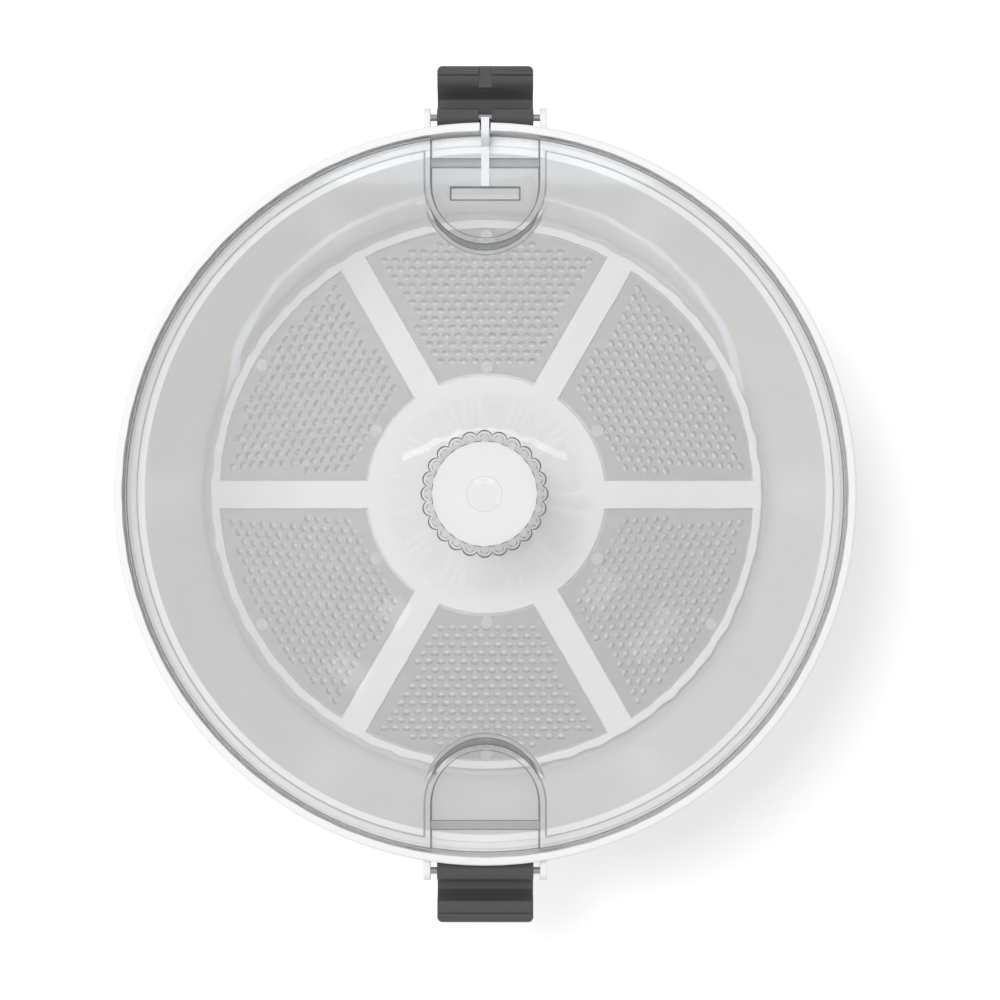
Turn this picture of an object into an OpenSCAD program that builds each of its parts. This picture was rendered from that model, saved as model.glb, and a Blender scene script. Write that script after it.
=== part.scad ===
// Household electric potato peeler. Millimetres, +Z up, origin under the middle of the feet.
// The controls face -Y, the two lid clips are at +X and -X, and the lid interlock is at +X.

/* [Bowl] */
// Outer radius of the bowl's rim flange
rim_r = 125; // [118:0.5:135]
// Radial width of the rim flange
rim_w = 3.1; // [2.8:0.1:4.5]
// How far the rim flange overhangs the rim wall under it
rim_lip = 1.1; // [0.6:0.1:1.6]
// Height of the rim flange
rim_lip_h = 3; // [2:0.5:4.5]
// Wall thickness of the bowl
bowl_t = 2.4; // [1.6:0.1:3]
// Inner radius of the bowl at its floor
floor_r = 104; // [103:0.5:108]
// Thickness of the bowl floor
floor_t = 3; // [2.5:0.5:4]
// Height of the bowl from the deck to the rim
bowl_h = 109; // [100:1:125]
// Depth of the rebate that the lid drops into
rebate_h = 11; // [10.5:0.5:13]
// Width of the ledge that the lid seal sits on
ledge_w = 6.3; // [5.5:0.1:8]
// Fillet radius between the floor and the wall
floor_fillet = 7; // [3:0.5:10]
// Wall of the collar round the drive column
collar_t = 2.6; // [2:0.2:3.4]
// Height of the collar above the bowl floor
collar_h = 11; // [9:0.5:11.5]

/* [Clips] */
// How far the clip pins stand outside the rim
pin_out = 2.5; // [2.5:0.1:4]
// Depth of the clip pins below the rim
pin_drop = 8; // [7.8:0.1:8.5]
// Radius of the clip pins
pin_r = 1.25; // [1:0.05:1.4]
// Half width of a clip
clip_half = 16.3; // [14:0.1:17.5]
// Radius of the hinge barrel of a clip
barrel_r = 3.2; // [2.8:0.1:3.2]
// Thickness of the clip plate
clip_t = 2.5; // [2:0.1:3]
// Reach of the clip from its pin to its tip
clip_reach = 18; // [17.8:0.1:19]
// Corner radius of the clip's tip
clip_corner = 2.2; // [1:0.1:4]
// Height of the catch lip under the clip's tip
lip_h = 1.1; // [0.8:0.1:1.4]
// Distance from the middle of the bowl to the hinge lugs' inner faces
lug_y = 18.5; // [18:0.1:20]
// Thickness of a hinge lug
lug_t = 2.4; // [2:0.1:3.2]

/* [Lid] */
// Gap between the lid's edge and the rim
lid_gap = 0.6; // [0.3:0.1:1]
// Wall thickness of the lid
lid_t = 2.3; // [1.8:0.1:2.6]
// Radial width of the skirt under the lid's brim
skirt_w = 3.9; // [3.4:0.1:5]
// Height of the lid's brim above the skirt's lower face
brim_h = 8.3; // [7.5:0.1:9.5]
// Width of the lid outside its dome, up to the rim's edge
dome_in = 22; // [20:0.5:27]
// Rise of the dome above the brim
dome_h = 25; // [18:0.5:32]
// Inner radius of the filler neck
neck_r = 13.5; // [11:0.5:14.5]
// Wall of the filler neck
neck_t = 2.3; // [1.8:0.1:2.6]
// Height of the filler neck above the dome
neck_h = 12; // [10:0.5:14]
// Half width of the two clip recesses
recess_half = 18.25; // [17.9:0.05:18.5]
// Width of the step round each recess
recess_step = 2.25; // [1.6:0.05:2.6]
// Distance from the rim's edge to the centre of the recess's round end
recess_in = 20.5; // [19:0.5:22]
// Sideways growth of the recess's end wall per unit of height
recess_draft = 0.6; // [0.3:0.05:0.8]
// Thickness of the lid seal between the ledge and the lid
seal_h = 2.2; // [1.8:0.1:2.6]
// Radial width of the lid seal
seal_w = 2.3; // [1.8:0.1:2.8]
// Distance of the seal from the lid's edge
seal_inset = 1; // [0.6:0.1:1.2]
// Width of the catch groove
groove_w = 2.8; // [2.7:0.1:3.2]
// Depth of the catch groove
groove_h = 1.3; // [1:0.1:1.5]
// Half width of the pocket in the interlock's recess
pocket_half = 11.7; // [8:0.1:14]
// Radial width of that pocket
pocket_w = 4.3; // [3:0.1:5]
// Distance from the rim's edge to the pocket's inner edge
pocket_in = 25.5; // [24:0.5:29]
// Depth of the pocket
pocket_h = 1.3; // [0.8:0.1:1.5]

/* [Filler cap] */
// Number of flutes on the cap
flutes = 24; // [12:1:30]
// Outer radius of the cap over its flutes
cap_r = 20.7; // [20:0.1:23]
// Radius of one flute
flute_r = 2.7; // [2.4:0.1:2.9]
// Wall thickness of the clear grip
grip_t = 1.2; // [1:0.1:1.4]
// Gap between the clear grip and the dome under it
grip_gap = 0.4; // [0.3:0.1:1.5]
// Thickness of the grip's top
grip_top = 1.6; // [1.2:0.1:2]
// Gap between the white insert and the clear grip
insert_gap = 0.25; // [0.15:0.05:0.5]
// Thickness of the white insert's disc
insert_t = 1.3; // [1:0.1:1.8]
// Radius of the dimple in the cap's top
dimple_r = 5.8; // [4:0.1:9]
// Depth of the dimple
dimple_h = 0.8; // [0.4:0.1:1]
// Turn between the cap's closed and open positions
cap_turn = 60; // [45:5:75]

/* [Peeling disc] */
// Radius of the disc
disc_r = 101; // [98:0.5:101.5]
// Thickness of the disc under the plates
disc_t = 3.5; // [3:0.1:4.5]
// Running gap under the disc
disc_lift = 3; // [2.6:0.1:4]
// Number of spokes, and of grater plates
spokes = 6; // [4:1:8]
// Width of a spoke
spoke_w = 10.3; // [8:0.1:13]
// Height of the spokes above the plates' seats
spoke_h = 3.6; // [2.5:0.1:4.5]
// Width of the rim round the disc
disc_rim_w = 3; // [2.5:0.1:4]
// Radius of the hub cone at the plates
hub_r = 43.5; // [38:0.5:48]
// Radius of the top of the hub
hub_top_r = 15; // [13:0.5:17]
// Height of the hub above the plates' seats
hub_h = 21; // [20.5:0.5:26]
// Thickness of a grater plate
plate_t = 1; // [0.6:0.1:1.4]
// Radius of a grater hole
tooth_r = 1.1; // [0.8:0.05:1.3]
// Distance between grater holes along a row
tooth_pitch = 4.2; // [3.8:0.1:7]
// Distance between rows of grater holes
tooth_row = 3.1; // [2.9:0.1:6]
// Smooth margin round a plate
plate_margin = 3.6; // [2.8:0.1:6]
// Radius of the drive socket's metal insert
socket_r = 9; // [7.5:0.5:10]
// Radius of the rivets that hold the plates
rivet_r = 1.5; // [1:0.1:1.8]

/* [Base] */
// Radius of the base at its foot
base_r = 112; // [110.5:0.5:115]
// How much the housing narrows from its foot to its deck, in radius
deck_in = 3; // [1.5:0.5:3.5]
// Height of the base housing
base_h = 98; // [96:0.5:108]
// Wall thickness of the base housing
base_t = 2.5; // [2:0.1:3]
// Thickness of the deck
deck_t = 3; // [2.5:0.1:4]
// Edge radius of the deck
deck_edge = 2.5; // [1:0.1:2.5]
// Thickness of the bottom cover
cover_t = 3; // [2.5:0.1:4]
// Height of the feet
foot_h = 5; // [3:0.5:8]
// Radius of a foot
foot_r = 10; // [7:0.5:12]
// Distance of the feet from the housing's lower edge
foot_in = 28; // [26:0.5:34]
// Distance of the cover screws from the housing's lower edge
cover_screw_in = 7; // [6.5:0.1:7.5]
// Radius of the drive column
column_r = 15; // [14.5:0.1:15.5]
// Height of the drive column above the deck
column_h = 13; // [12:0.5:13]
// Depth of the drive column below the deck
column_drop = 7; // [6:0.5:7.2]
// Distance of the bowl screws from the middle
bowl_screw_ring = 70; // [60:0.5:76]
// Distance of the gear plate's pillars from the deck's edge
pillar_in = 21; // [20:0.1:22.5]
// Radius of a pillar
pillar_r = 5; // [4:0.1:5.5]

/* [Interlock] */
// How far the interlock tower stands outside the rim
tower_out = 4.6; // [4.3:0.1:7]
// Half width of the interlock tower at its outer face
tower_half = 11; // [10.6:0.1:13]
// Half width of the interlock tower at its root
tower_root = 24; // [16:0.5:28]
// Depth of the tower's top below the rim
tower_drop = 22; // [21.5:0.5:26]
// Radius of the push rod
rod_r = 1.2; // [0.9:0.05:1.2]
// Distance of the push rod's axis from the rim's edge
rod_in = 0.5; // [0.4:0.05:0.6]
// Travel of the push rod
rod_travel = 3; // [2:0.1:3.2]
// Width of the lid's interlock tongue
tongue_w = 2.7; // [2:0.1:2.9]
// Side clearance of the tongue in the rim's notch
tongue_gap = 0.5; // [0.3:0.1:0.8]
// Active turns of the return spring
spring_turns = 7; // [5:1:9]
// Radius of the return spring to its wire's centre
spring_r = 2.3; // [2.1:0.05:2.6]
// Radius of the spring wire
spring_wire = 0.35; // [0.25:0.05:0.4]
// Length of the fitted return spring
spring_l = 18; // [15:0.5:22]

/* [Drive] */
// Radius of the main shaft
shaft_r = 5; // [4.5:0.1:5.2]
// Distance across the drive flats of the shaft
flats = 8; // [7:0.1:8.6]
// Outer radius of the shaft's upper and lower bushes
bush_r = 8; // [7:0.1:8.5]
// Radial running clearance of the bushes
run = 0.05; // [0.03:0.01:0.08]
// Gear module of the first stage
mod_1 = 1.25; // [1.2:0.05:1.25]
// Gear module of the second stage
mod_2 = 1.5; // [1.45:0.05:1.5]
// Teeth of both pinions
pinion_teeth = 16; // [16:1:17]
// Teeth of both wheels
wheel_teeth = 56; // [50:1:56]
// Backlash at the pitch circle
lash = 0.16; // [0.1:0.02:0.3]
// Bearing of the intermediate gear seen from above
idler_angle = 135; // [130:1:140]
// Radius of the intermediate axle
axle_r = 3; // [2.5:0.1:3.5]
// Thickness of the gear plate
gear_plate_t = 4; // [3:0.1:4.5]
// Distance of the gear plate's edge from the deck's edge
gear_plate_in = 13; // [11:0.5:15]
// Depth of the gear plate's top below the deck
gear_drop = 33; // [32:0.5:33.5]

/* [Motor] */
// Distance of the motor shaft from the middle
motor_ring = 62; // [60:0.5:63]
// Radius of the motor shaft
motor_shaft_r = 3; // [2:0.1:3.4]
// Height of the stator stack's lower face above the base's lower edge
motor_low = 19; // [18:0.5:24]
// Half width of the stator stack
stack_half = 28; // [26:0.5:29]
// Radius of the rotor
rotor_r = 15.6; // [13:0.1:16]
// Air gap of the rotor
air_gap = 0.4; // [0.3:0.05:0.6]
// Thickness of the coil around the stator's limb
coil_t = 8; // [5:0.5:8.5]
// Distance of the motor bolts from the motor shaft
bolt_ring = 22; // [21:0.1:22.5]
// Radius of the cooling fan
fan_r = 24; // [20:0.5:26]
// Number of fan blades
fan_blades = 8; // [5:1:12]

/* [Controls and inlet] */
// Depth of the switch knob's axis below the deck
knob_drop = 54; // [52:0.5:58]
// Radius of the switch knob
knob_r = 16; // [12:0.5:18]
// Length of the switch knob
knob_l = 11.5; // [9:0.5:12]
// Radius of the round pad behind the knob
pad_r = 19; // [18.6:0.1:22]
// Width of the trim ring round the knob
trim_w = 1.6; // [1:0.1:2]
// Radius of the switch shaft
switch_shaft_r = 3; // [2.5:0.1:3.4]
// Side of the switch body
switch_side = 22; // [18:0.5:23]
// Height of the cord inlet above the base's lower edge
gland_z = 14; // [12:0.5:20]
// Radius of the cord that the inlet takes
gland_bore = 3.3; // [2.8:0.1:4]
// Radius of the inlet bush where it passes the wall
gland_r = 6.4; // [5:0.1:7]

/* [Hidden] */
$fn = 96;
e = 0.01;
seat = 0.02;
far = 400;
n_arc = 6;

// Screws and bolts: shanks, heads, and the gaps round a shank in its thread and in a clear hole
screw_r = 1.55;
bolt_r = 1.75;
screw_head_r = 3.4;
bolt_head_r = 3.5;
head_h = 2.4;
sunk_head_h = 2;
thread_gap = 0.05;
clear_gap = 0.35;
screw_bite = 12;
pilot_spare = 2;

// Levels, from the floor up
z_cover = foot_h;
z_base = z_cover + cover_t;
z_deck = z_base + base_h;
z_floor = z_deck + floor_t;
z_rim = z_deck + bowl_h;
z_ledge = z_rim - rebate_h;
z_skirt = z_ledge + seal_h;
z_recess = z_skirt + lid_t;
z_brim = z_skirt + brim_h;
z_dome = z_brim + dome_h;
z_neck = z_dome + neck_h;
z_insert = z_neck + 0.3;
z_grip_top = z_insert + insert_t + grip_top;
z_grip_low = z_dome + grip_gap;
z_pin = z_rim - pin_drop;
z_column = z_deck + column_h;
z_boss = z_deck - deck_t - column_drop;
z_disc = z_floor + disc_lift;
z_seat = z_disc + disc_t;
z_hub = z_seat + hub_h;
z_tower = z_rim - tower_drop;
z_plate = z_deck - gear_drop;
z_plate_low = z_plate - gear_plate_t;

// Cover, feet and vents
cover_boss_r = 4.5;
cover_boss_h = 20;
plug_r = 3;
plug_head = 0.8;
plug_head_h = 1.6;
vent_count = 12;
vent_in = 11;
vent_l = 11;
vent_w = 3;

// Places that follow the rim and the housing
pin_x = rim_r + pin_out;
dome_r = rim_r - dome_in;
recess_c = rim_r - recess_in;
pocket_x = rim_r - pocket_in;
tower_x = rim_r + tower_out;
rod_x = rim_r - rod_in;
deck_r = base_r - deck_in;
foot_ring = base_r - foot_in;
cover_screw_ring = base_r - cover_screw_in;
pillar_ring = deck_r - pillar_in;
gear_plate_r = deck_r - gear_plate_in;

// Bowl and rim
seat_r = rim_r - rim_w;
rim_wall_r = rim_r - rim_lip;
bowl_top_r = seat_r - ledge_w;
bowl_foot_r = floor_r + bowl_t;
bowl_slope = (bowl_top_r + bowl_t - bowl_foot_r) / (z_ledge - bowl_t - z_deck);
hole_r = column_r + 0.3;
collar_r = hole_r + collar_t;
pad_h = 1.6;
pad_boss_r = 5;
rim_round = 1;
wall_gap = 0.6;
gasket_r = 24;
gasket_h = 1.4;
gasket_w = 3;
gasket_gap = 0.1;

// Tower
tower_x_in = base_r - 12;
tower_wall = 2;
tower_round = 5;
tower_roof = 3;

// Clips and lugs
clip_bore_r = pin_r + 0.08;
slot_half = tongue_w / 2 + 0.9;
swing_gap = 0.35;
rib_gap = 0.5;
rim_chord = sqrt(pow(seat_r, 2) - pow(clip_half, 2));
swing_r = norm([pin_x - rim_chord, z_rim - z_pin]) + swing_gap;
clip_open = 180;
clip_gap = 0.45;
clip_deep = z_recess - z_pin + clip_gap;
clip_knee = sqrt(pow(swing_r, 2) - pow(clip_deep, 2));

// Lid
lid_r = seat_r - lid_gap;
ledge_half = recess_half + recess_step;
dome_steps = 18;
groove_x = pin_x - clip_reach + 1;
cavity_r = cap_r - flute_r + 0.1 - 0.8 * grip_t;
insert_r = cavity_r - insert_gap;
plug_gap = 0.3;
plug_t = 1.7;
stud_half = 2;
stud_out = 1.1;

// Disc
plate_in = hub_r + 1;
plate_out = disc_r - disc_rim_w - 0.5;
plate_gap = 0.3;
rivet_in = 2.2;
rivet_gap = 0.1;
rivet_head = 0.7;
rivet_rings = [plate_in + rivet_in, plate_out - rivet_in];
spoke_angles = [for (i = [0 : spokes - 1]) i * 360 / spokes + 180 / spokes];
shaft_top = z_hub - 3;
socket_low = z_column + 3;
hub_wall = 3.6;

// Drive
ratio_1_c = mod_1 * (pinion_teeth + wheel_teeth) / 2;
ratio_2_c = mod_2 * (pinion_teeth + wheel_teeth) / 2;
motor_angle = idler_angle
  + acos((pow(ratio_2_c, 2) + pow(motor_ring, 2) - pow(ratio_1_c, 2)) / (2 * ratio_2_c * motor_ring));
idler_pos = ratio_2_c * [cos(idler_angle), sin(idler_angle)];
motor_pos = motor_ring * [cos(motor_angle), sin(motor_angle)];
mesh_angle = atan2(motor_pos[1] - idler_pos[1], motor_pos[0] - idler_pos[0]);
z_gear_1 = z_plate + 3;
gear_1_w = 7;
z_gear_2 = z_gear_1 + gear_1_w + 3;
gear_2_w = 7;
hub_gap = 1;
gear_hub_r = 10;
web_in = 14;
web_out = 5;
web_sink = 2;
axle_wall = 3;
axle_boss_h = 6;
axle_foot_h = 4;
flat_in = 0.8;
bush_drop = 9;
clip_groove = 1.8;
seal_pocket = 4;
seal_wall = 3;
lighten_r = 14;
motor_stack_z = z_base + motor_low;
motor_top_gap = 12;
stack_h = z_plate_low - motor_top_gap - motor_stack_z;
coil_half = 15.5;
window_half = 16;
bridge_h = 12.5;
end_ring_h = 2.6;
bracket_t = 3;
bracket_half = 7;
bracket_foot_r = 4;
bracket_rise = 7;
motor_bush_r = 6;
bush_low = 3.6;
bush_top = 9;
fan_h = 6.5;
fan_t = 1.4;
fan_hub_r = 8;
z_fan = z_base + 1.5;

// Controls and inlet
knob_axis_z = z_deck - knob_drop;
gland_axis_z = z_base + gland_z;
pad_y = base_out(knob_axis_z) + 1.65;
gland_y = base_out(gland_axis_z) + 0.73;
gland_lip = 2.4;
gland_l = 11;
gland_seat = 8;
body_y = pad_y - 8;
rod_top = z_pin - 2.4;
micro_half = 6.8;
micro_h = 10.5;
micro_shelf_t = 3;
micro_shelf_in = 20;
micro_in = 6;
micro_w = 8.3;
z_micro = z_deck - 32;
plunger_r = 1.5;
z_plunger = z_micro + micro_h - 1.9;
rod_low = z_micro + micro_h + rod_travel + 0.5;
shelf_z = z_deck + 14;
shelf_t = 2;
shelf_in = 18;
switch_l = 16;
neck_thread_r = 4.9;
nut_r = 7.4;
nut_h = 2.2;
trim_gap = 0.6;
trim_h = 1.2;
knob_gap = 0.5;
knob_draft = 1.4;
mark_w = 2;
mark_l = 6;
mark_in = 9;
mark_t = 1;
wire_r = 1.1;
block_x = 23;
block_y = base_r - 38;
block_h = 13;
block_pitch = 11;
block_d = 16;
spring_top = shelf_z + shelf_t + spring_l;

function arc_pts(c, r, a0, a1, n = n_arc) =
  [for (i = [0 : n]) c + r * [cos(a0 + (a1 - a0) * i / n), sin(a0 + (a1 - a0) * i / n)]];
function bowl_out(z) = bowl_foot_r + bowl_slope * (z - z_deck);
function dome_rise(r) = let(s = (dome_r - r) / (dome_r - neck_r - neck_t)) dome_h * s * s * (3 - 2 * s);
function base_out(z) = base_r - (base_r - deck_r) * (z - z_base) / base_h;

module ring(r_out, r_in, z0, z1) {
  translate([0, 0, z0]) difference() {
    cylinder(r = r_out, h = z1 - z0);
    translate([0, 0, -1]) cylinder(r = r_in, h = z1 - z0 + 2);
  }
}

module linear_extrude_at(z0, z1) {
  translate([0, 0, z0]) linear_extrude(z1 - z0) children();
}

module rod(r, z0, z1) {
  translate([0, 0, z0]) cylinder(r = r, h = z1 - z0);
}

module around(count, radius, start = 0) {
  for (i = [0 : count - 1]) rotate(start + i * 360 / count) translate([radius, 0, 0]) children();
}

module along_y(r, y0, y1, z) {
  translate([0, y0, z]) rotate([-90, 0, 0]) cylinder(r = r, h = y1 - y0);
}

module screw(head_r, head_h, shank_r, z0, z1) {
  rod(head_r, z0, z0 + head_h);
  rod(shank_r, z0, z1);
}

// Spur gears with involute flanks
function inv(a) = tan(a) * 180 / PI - a;
function tooth_half(m, n, r) =
  90 / n - lash / (m * n) * 90 / PI + inv(20) - inv(acos(min(1, m * n / 2 * cos(20) / r)));
function tooth_pts(m, n) =
  let(rp = m * n / 2, ra = rp + m, rf = rp - 1.25 * m, r0 = max(rf, rp * cos(20)))
  concat(
    [[rf, -tooth_half(m, n, r0)]],
    [for (i = [0 : 5]) let(r = r0 + (ra - r0) * i / 5) [r, -tooth_half(m, n, r)]],
    [for (i = [5 : -1 : 0]) let(r = r0 + (ra - r0) * i / 5) [r, tooth_half(m, n, r)]],
    [[rf, tooth_half(m, n, r0)]]
  );
module spur(m, n, width, phase) {
  linear_extrude(width) polygon([
    for (i = [0 : n - 1]) for (p = tooth_pts(m, n))
      let(a = phase + i * 360 / n + p[1]) p[0] * [cos(a), sin(a)]
  ]);
}

// Base housing and cover
module tower_shape(half, root, x_out, x_in, round_r) {
  polygon([
    [x_in, -root], [x_out - round_r, -half], [x_out - round_r, half], [x_in, root]
  ]);
  translate([x_in, -half + round_r]) square([x_out - x_in, 2 * (half - round_r)]);
  for (s = [-1, 1]) translate([x_out - round_r, s * (half - round_r)]) circle(r = round_r);
}

module tower_hollow(x_in) {
  tower_shape(tower_half - tower_wall, tower_root - tower_wall, tower_x - tower_wall, x_in, tower_round - tower_wall);
}

module bowl_clearance(gap) {
  translate([0, 0, z_deck - e])
    cylinder(r1 = bowl_out(z_deck) + gap, r2 = bowl_out(z_rim) + gap, h = z_rim - z_deck);
}

module housing_shell() {
  difference() {
    union() {
      rotate_extrude() polygon(concat(
        [[0, z_base], [base_r, z_base]],
        arc_pts([deck_r - deck_edge, z_deck - deck_edge], deck_edge, 0, 90),
        [[0, z_deck]]
      ));
      difference() {
        linear_extrude_at(z_base, z_tower) tower_shape(tower_half, tower_root, tower_x, tower_x_in, tower_round);
        bowl_clearance(wall_gap);
      }
    }
    rotate_extrude() polygon([
      [0, z_base - e], [base_r - base_t, z_base - e],
      [deck_r - base_t, z_deck - deck_t - deck_edge], [deck_r - base_t - deck_edge, z_deck - deck_t],
      [0, z_deck - deck_t]
    ]);
    linear_extrude_at(z_base - e, z_deck - deck_t) tower_hollow(tower_x_in - 10);
    difference() {
      linear_extrude_at(z_deck - deck_t - 1, z_tower - tower_roof) tower_hollow(tower_x_in);
      bowl_clearance(wall_gap + tower_wall);
      rod(bowl_out(z_deck) + wall_gap + tower_wall, z_deck - deck_t - 2, z_deck);
    }
  }
}

module housing_inside() {
  rod(column_r, z_boss, z_column);
  translate(idler_pos) rod(axle_r + axle_wall, z_deck - deck_t - axle_boss_h, z_deck - deck_t + e);
  around(4, pillar_ring, 20) rod(pillar_r, z_plate, z_deck - deck_t + e);
  around(4, cover_screw_ring, 45) rod(cover_boss_r, z_base, z_base + cover_boss_h);
  translate([tower_x - micro_shelf_in, -tower_half + 1, z_micro - micro_shelf_t])
    cube([micro_shelf_in - 1, 2 * tower_half - 2, micro_shelf_t]);
  translate([tower_x - shelf_in, -tower_half + 1, shelf_z]) cube([shelf_in - 1, 2 * tower_half - 2, shelf_t]);
  along_y(pad_r, -pad_y, -body_y, knob_axis_z);
  along_y(gland_r + 4, base_r - gland_seat, gland_y, gland_axis_z);
}

module housing_bores() {
  rod(shaft_r + 1, z_boss - 1, z_column + 1);
  rod(bush_r + seat, z_boss - 1, z_column - seal_pocket);
  rod(column_r - seal_wall, z_column - seal_pocket, z_column + 1);
  translate(idler_pos) rod(axle_r + seat, z_deck - deck_t - axle_boss_h - 1, z_deck - deck_t - 1);
  around(4, pillar_ring, 20) rod(screw_r + thread_gap, z_plate - 1, z_plate + screw_bite + pilot_spare);
  around(4, cover_screw_ring, 45) rod(screw_r + thread_gap, z_base - 1, z_base + screw_bite + pilot_spare);
  around(4, bowl_screw_ring) rod(bolt_r + clear_gap, z_deck - deck_t - 1, z_deck + 1);
  ring(gasket_r + gasket_w, gasket_r, z_deck - gasket_h, z_deck + 1);
  translate([rod_x, 0, 0]) rod(rod_r + 0.1, shelf_z - 1, z_tower + 1);
  along_y(neck_thread_r + 0.1, -pad_y - 1, -body_y + 1, knob_axis_z);
  along_y(gland_r + 0.1, base_r - gland_seat - 1, gland_y + 1, gland_axis_z);
}

module base_housing() {
  color([0.93, 0.93, 0.92]) difference() {
    union() {
      housing_shell();
      housing_inside();
    }
    housing_bores();
  }
}

module bottom_cover() {
  color([0.85, 0.85, 0.84]) translate([0, 0, z_cover]) difference() {
    linear_extrude(cover_t) union() {
      circle(r = base_r);
      tower_shape(tower_half, tower_root, tower_x, tower_x_in, tower_round);
    }
    around(4, cover_screw_ring, 45) {
      rod(screw_head_r + 0.2, -1, sunk_head_h + 0.2);
      rod(screw_r + clear_gap, -1, cover_t + 1);
    }
    around(4, foot_ring, 45) rod(plug_r + seat, -1, cover_t + 1);
    translate(motor_pos) around(vent_count, vent_in) translate([0, -vent_w / 2, -1])
      cube([vent_l, vent_w, cover_t + 2]);
  }
}

module feet() {
  color([0.25, 0.25, 0.26]) around(4, foot_ring, 45) {
    cylinder(r1 = foot_r - 1, r2 = foot_r, h = foot_h);
    rod(plug_r, 0, z_base + e);
    rod(plug_r + plug_head, z_base, z_base + plug_head_h);
  }
}

module cover_screws() {
  color([0.7, 0.7, 0.72]) around(4, cover_screw_ring, 45)
    screw(screw_head_r, sunk_head_h, screw_r, z_cover + 0.2, z_base + screw_bite);
}

// Bowl, its screws and gasket
module bowl_shape() {
  rotate_extrude() polygon(concat(
    [[hole_r, z_deck], [bowl_foot_r, z_deck], [bowl_top_r + bowl_t, z_ledge - bowl_t]],
    [[rim_wall_r, z_ledge - bowl_t], [rim_wall_r, z_rim - rim_lip_h], [rim_r, z_rim - rim_lip_h]],
    arc_pts([rim_r - rim_round, z_rim - rim_round], rim_round, 0, 90),
    arc_pts([seat_r + rim_round / 2, z_rim - rim_round / 2], rim_round / 2, 90, 180),
    [[seat_r, z_ledge], [bowl_top_r, z_ledge]],
    arc_pts([floor_r + bowl_slope * (z_floor - z_deck) - floor_fillet, z_floor + floor_fillet],
      floor_fillet, 0, -90),
    [[collar_r, z_floor], [collar_r, z_floor + collar_h], [hole_r, z_floor + collar_h]]
  ));
}

module clip_lugs() {
  for (s = [-1, 1]) translate([0, s * (lug_y + lug_t / 2), 0]) {
    translate([rim_wall_r - 3, -lug_t / 2, z_pin - barrel_r])
      cube([pin_x - rim_wall_r + 3, lug_t, 2 * barrel_r]);
    translate([pin_x, 0, z_pin]) rotate([90, 0, 0]) cylinder(r = barrel_r, h = lug_t, center = true);
  }
}

module interlock_notch() {
  half = tongue_w / 2 + tongue_gap;
  translate([seat_r - 1, -half, z_rim - 2.6]) cube([rim_w + 2, 2 * half, 4]);
  translate([rod_x - rod_r - 0.4, -half, z_ledge - bowl_t - 1]) cube([6, 2 * half, rebate_h + bowl_t + 2]);
}

module bowl() {
  color([0.95, 0.95, 0.94]) difference() {
    union() {
      bowl_shape();
      for (a = [0, 180]) rotate(a) clip_lugs();
      around(4, bowl_screw_ring) rod(pad_boss_r, z_floor - 1, z_floor + pad_h);
    }
    for (a = [0, 180]) rotate(a) translate([pin_x, 0, z_pin])
      rotate([90, 0, 0]) cylinder(r = pin_r + seat, h = 2 * (lug_y + lug_t) + 2, center = true);
    around(4, bowl_screw_ring) rod(bolt_r + thread_gap, z_deck - 1, z_floor + 0.6);
    interlock_notch();
  }
}

module bowl_screws() {
  color([0.7, 0.7, 0.72]) around(4, bowl_screw_ring)
    screw(bolt_head_r, head_h, bolt_r, z_deck - deck_t - head_h, z_floor + 0.5);
}

module deck_gasket() {
  color([0.4, 0.4, 0.42]) ring(gasket_r + gasket_w - gasket_gap, gasket_r + gasket_gap, z_deck - gasket_h, z_deck);
}

module clip_pins() {
  color([0.75, 0.76, 0.78]) for (a = [0, 180]) rotate(a) translate([pin_x, 0, z_pin])
    rotate([90, 0, 0]) cylinder(r = pin_r, h = 2 * (lug_y + lug_t), center = true);
}

// A clip is drawn closed round its pin, as (outward, up), and then swung open
module clip_profile() {
  top = pin_drop + 0.4;
  mid = swing_r * 1.005 * [cos(146), sin(146)];
  brow = [-sqrt(pow(swing_r + 0.3, 2) - pow(top, 2)), top];
  tip = -clip_reach;
  rise = 0.4;
  polygon(concat(
    [[0, 0], [3, 0]],
    arc_pts([1.5, top + clip_t - 1.5], 1.5, 0, 90, 4),
    [[brow[0] - 0.3, top + clip_t], [brow[0] - 1.9, top + 1.4], [-clip_knee - 1.6, clip_deep + clip_t + 0.6]],
    [[tip + 0.6, clip_deep + rise + clip_t - 0.5], [tip, clip_deep + rise + 0.6], [tip + 0.5, clip_deep + rise - 0.4]],
    [[groove_x - pin_x + 0.5, clip_deep - lip_h + 0.6], [groove_x - pin_x + 1, clip_deep - lip_h]],
    [[groove_x - pin_x + 2.1, clip_deep - lip_h], [groove_x - pin_x + 2.5, clip_deep + rise - 0.6]],
    [[-clip_knee, clip_deep], mid, brow, [0, top]]
  ));
}

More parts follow.
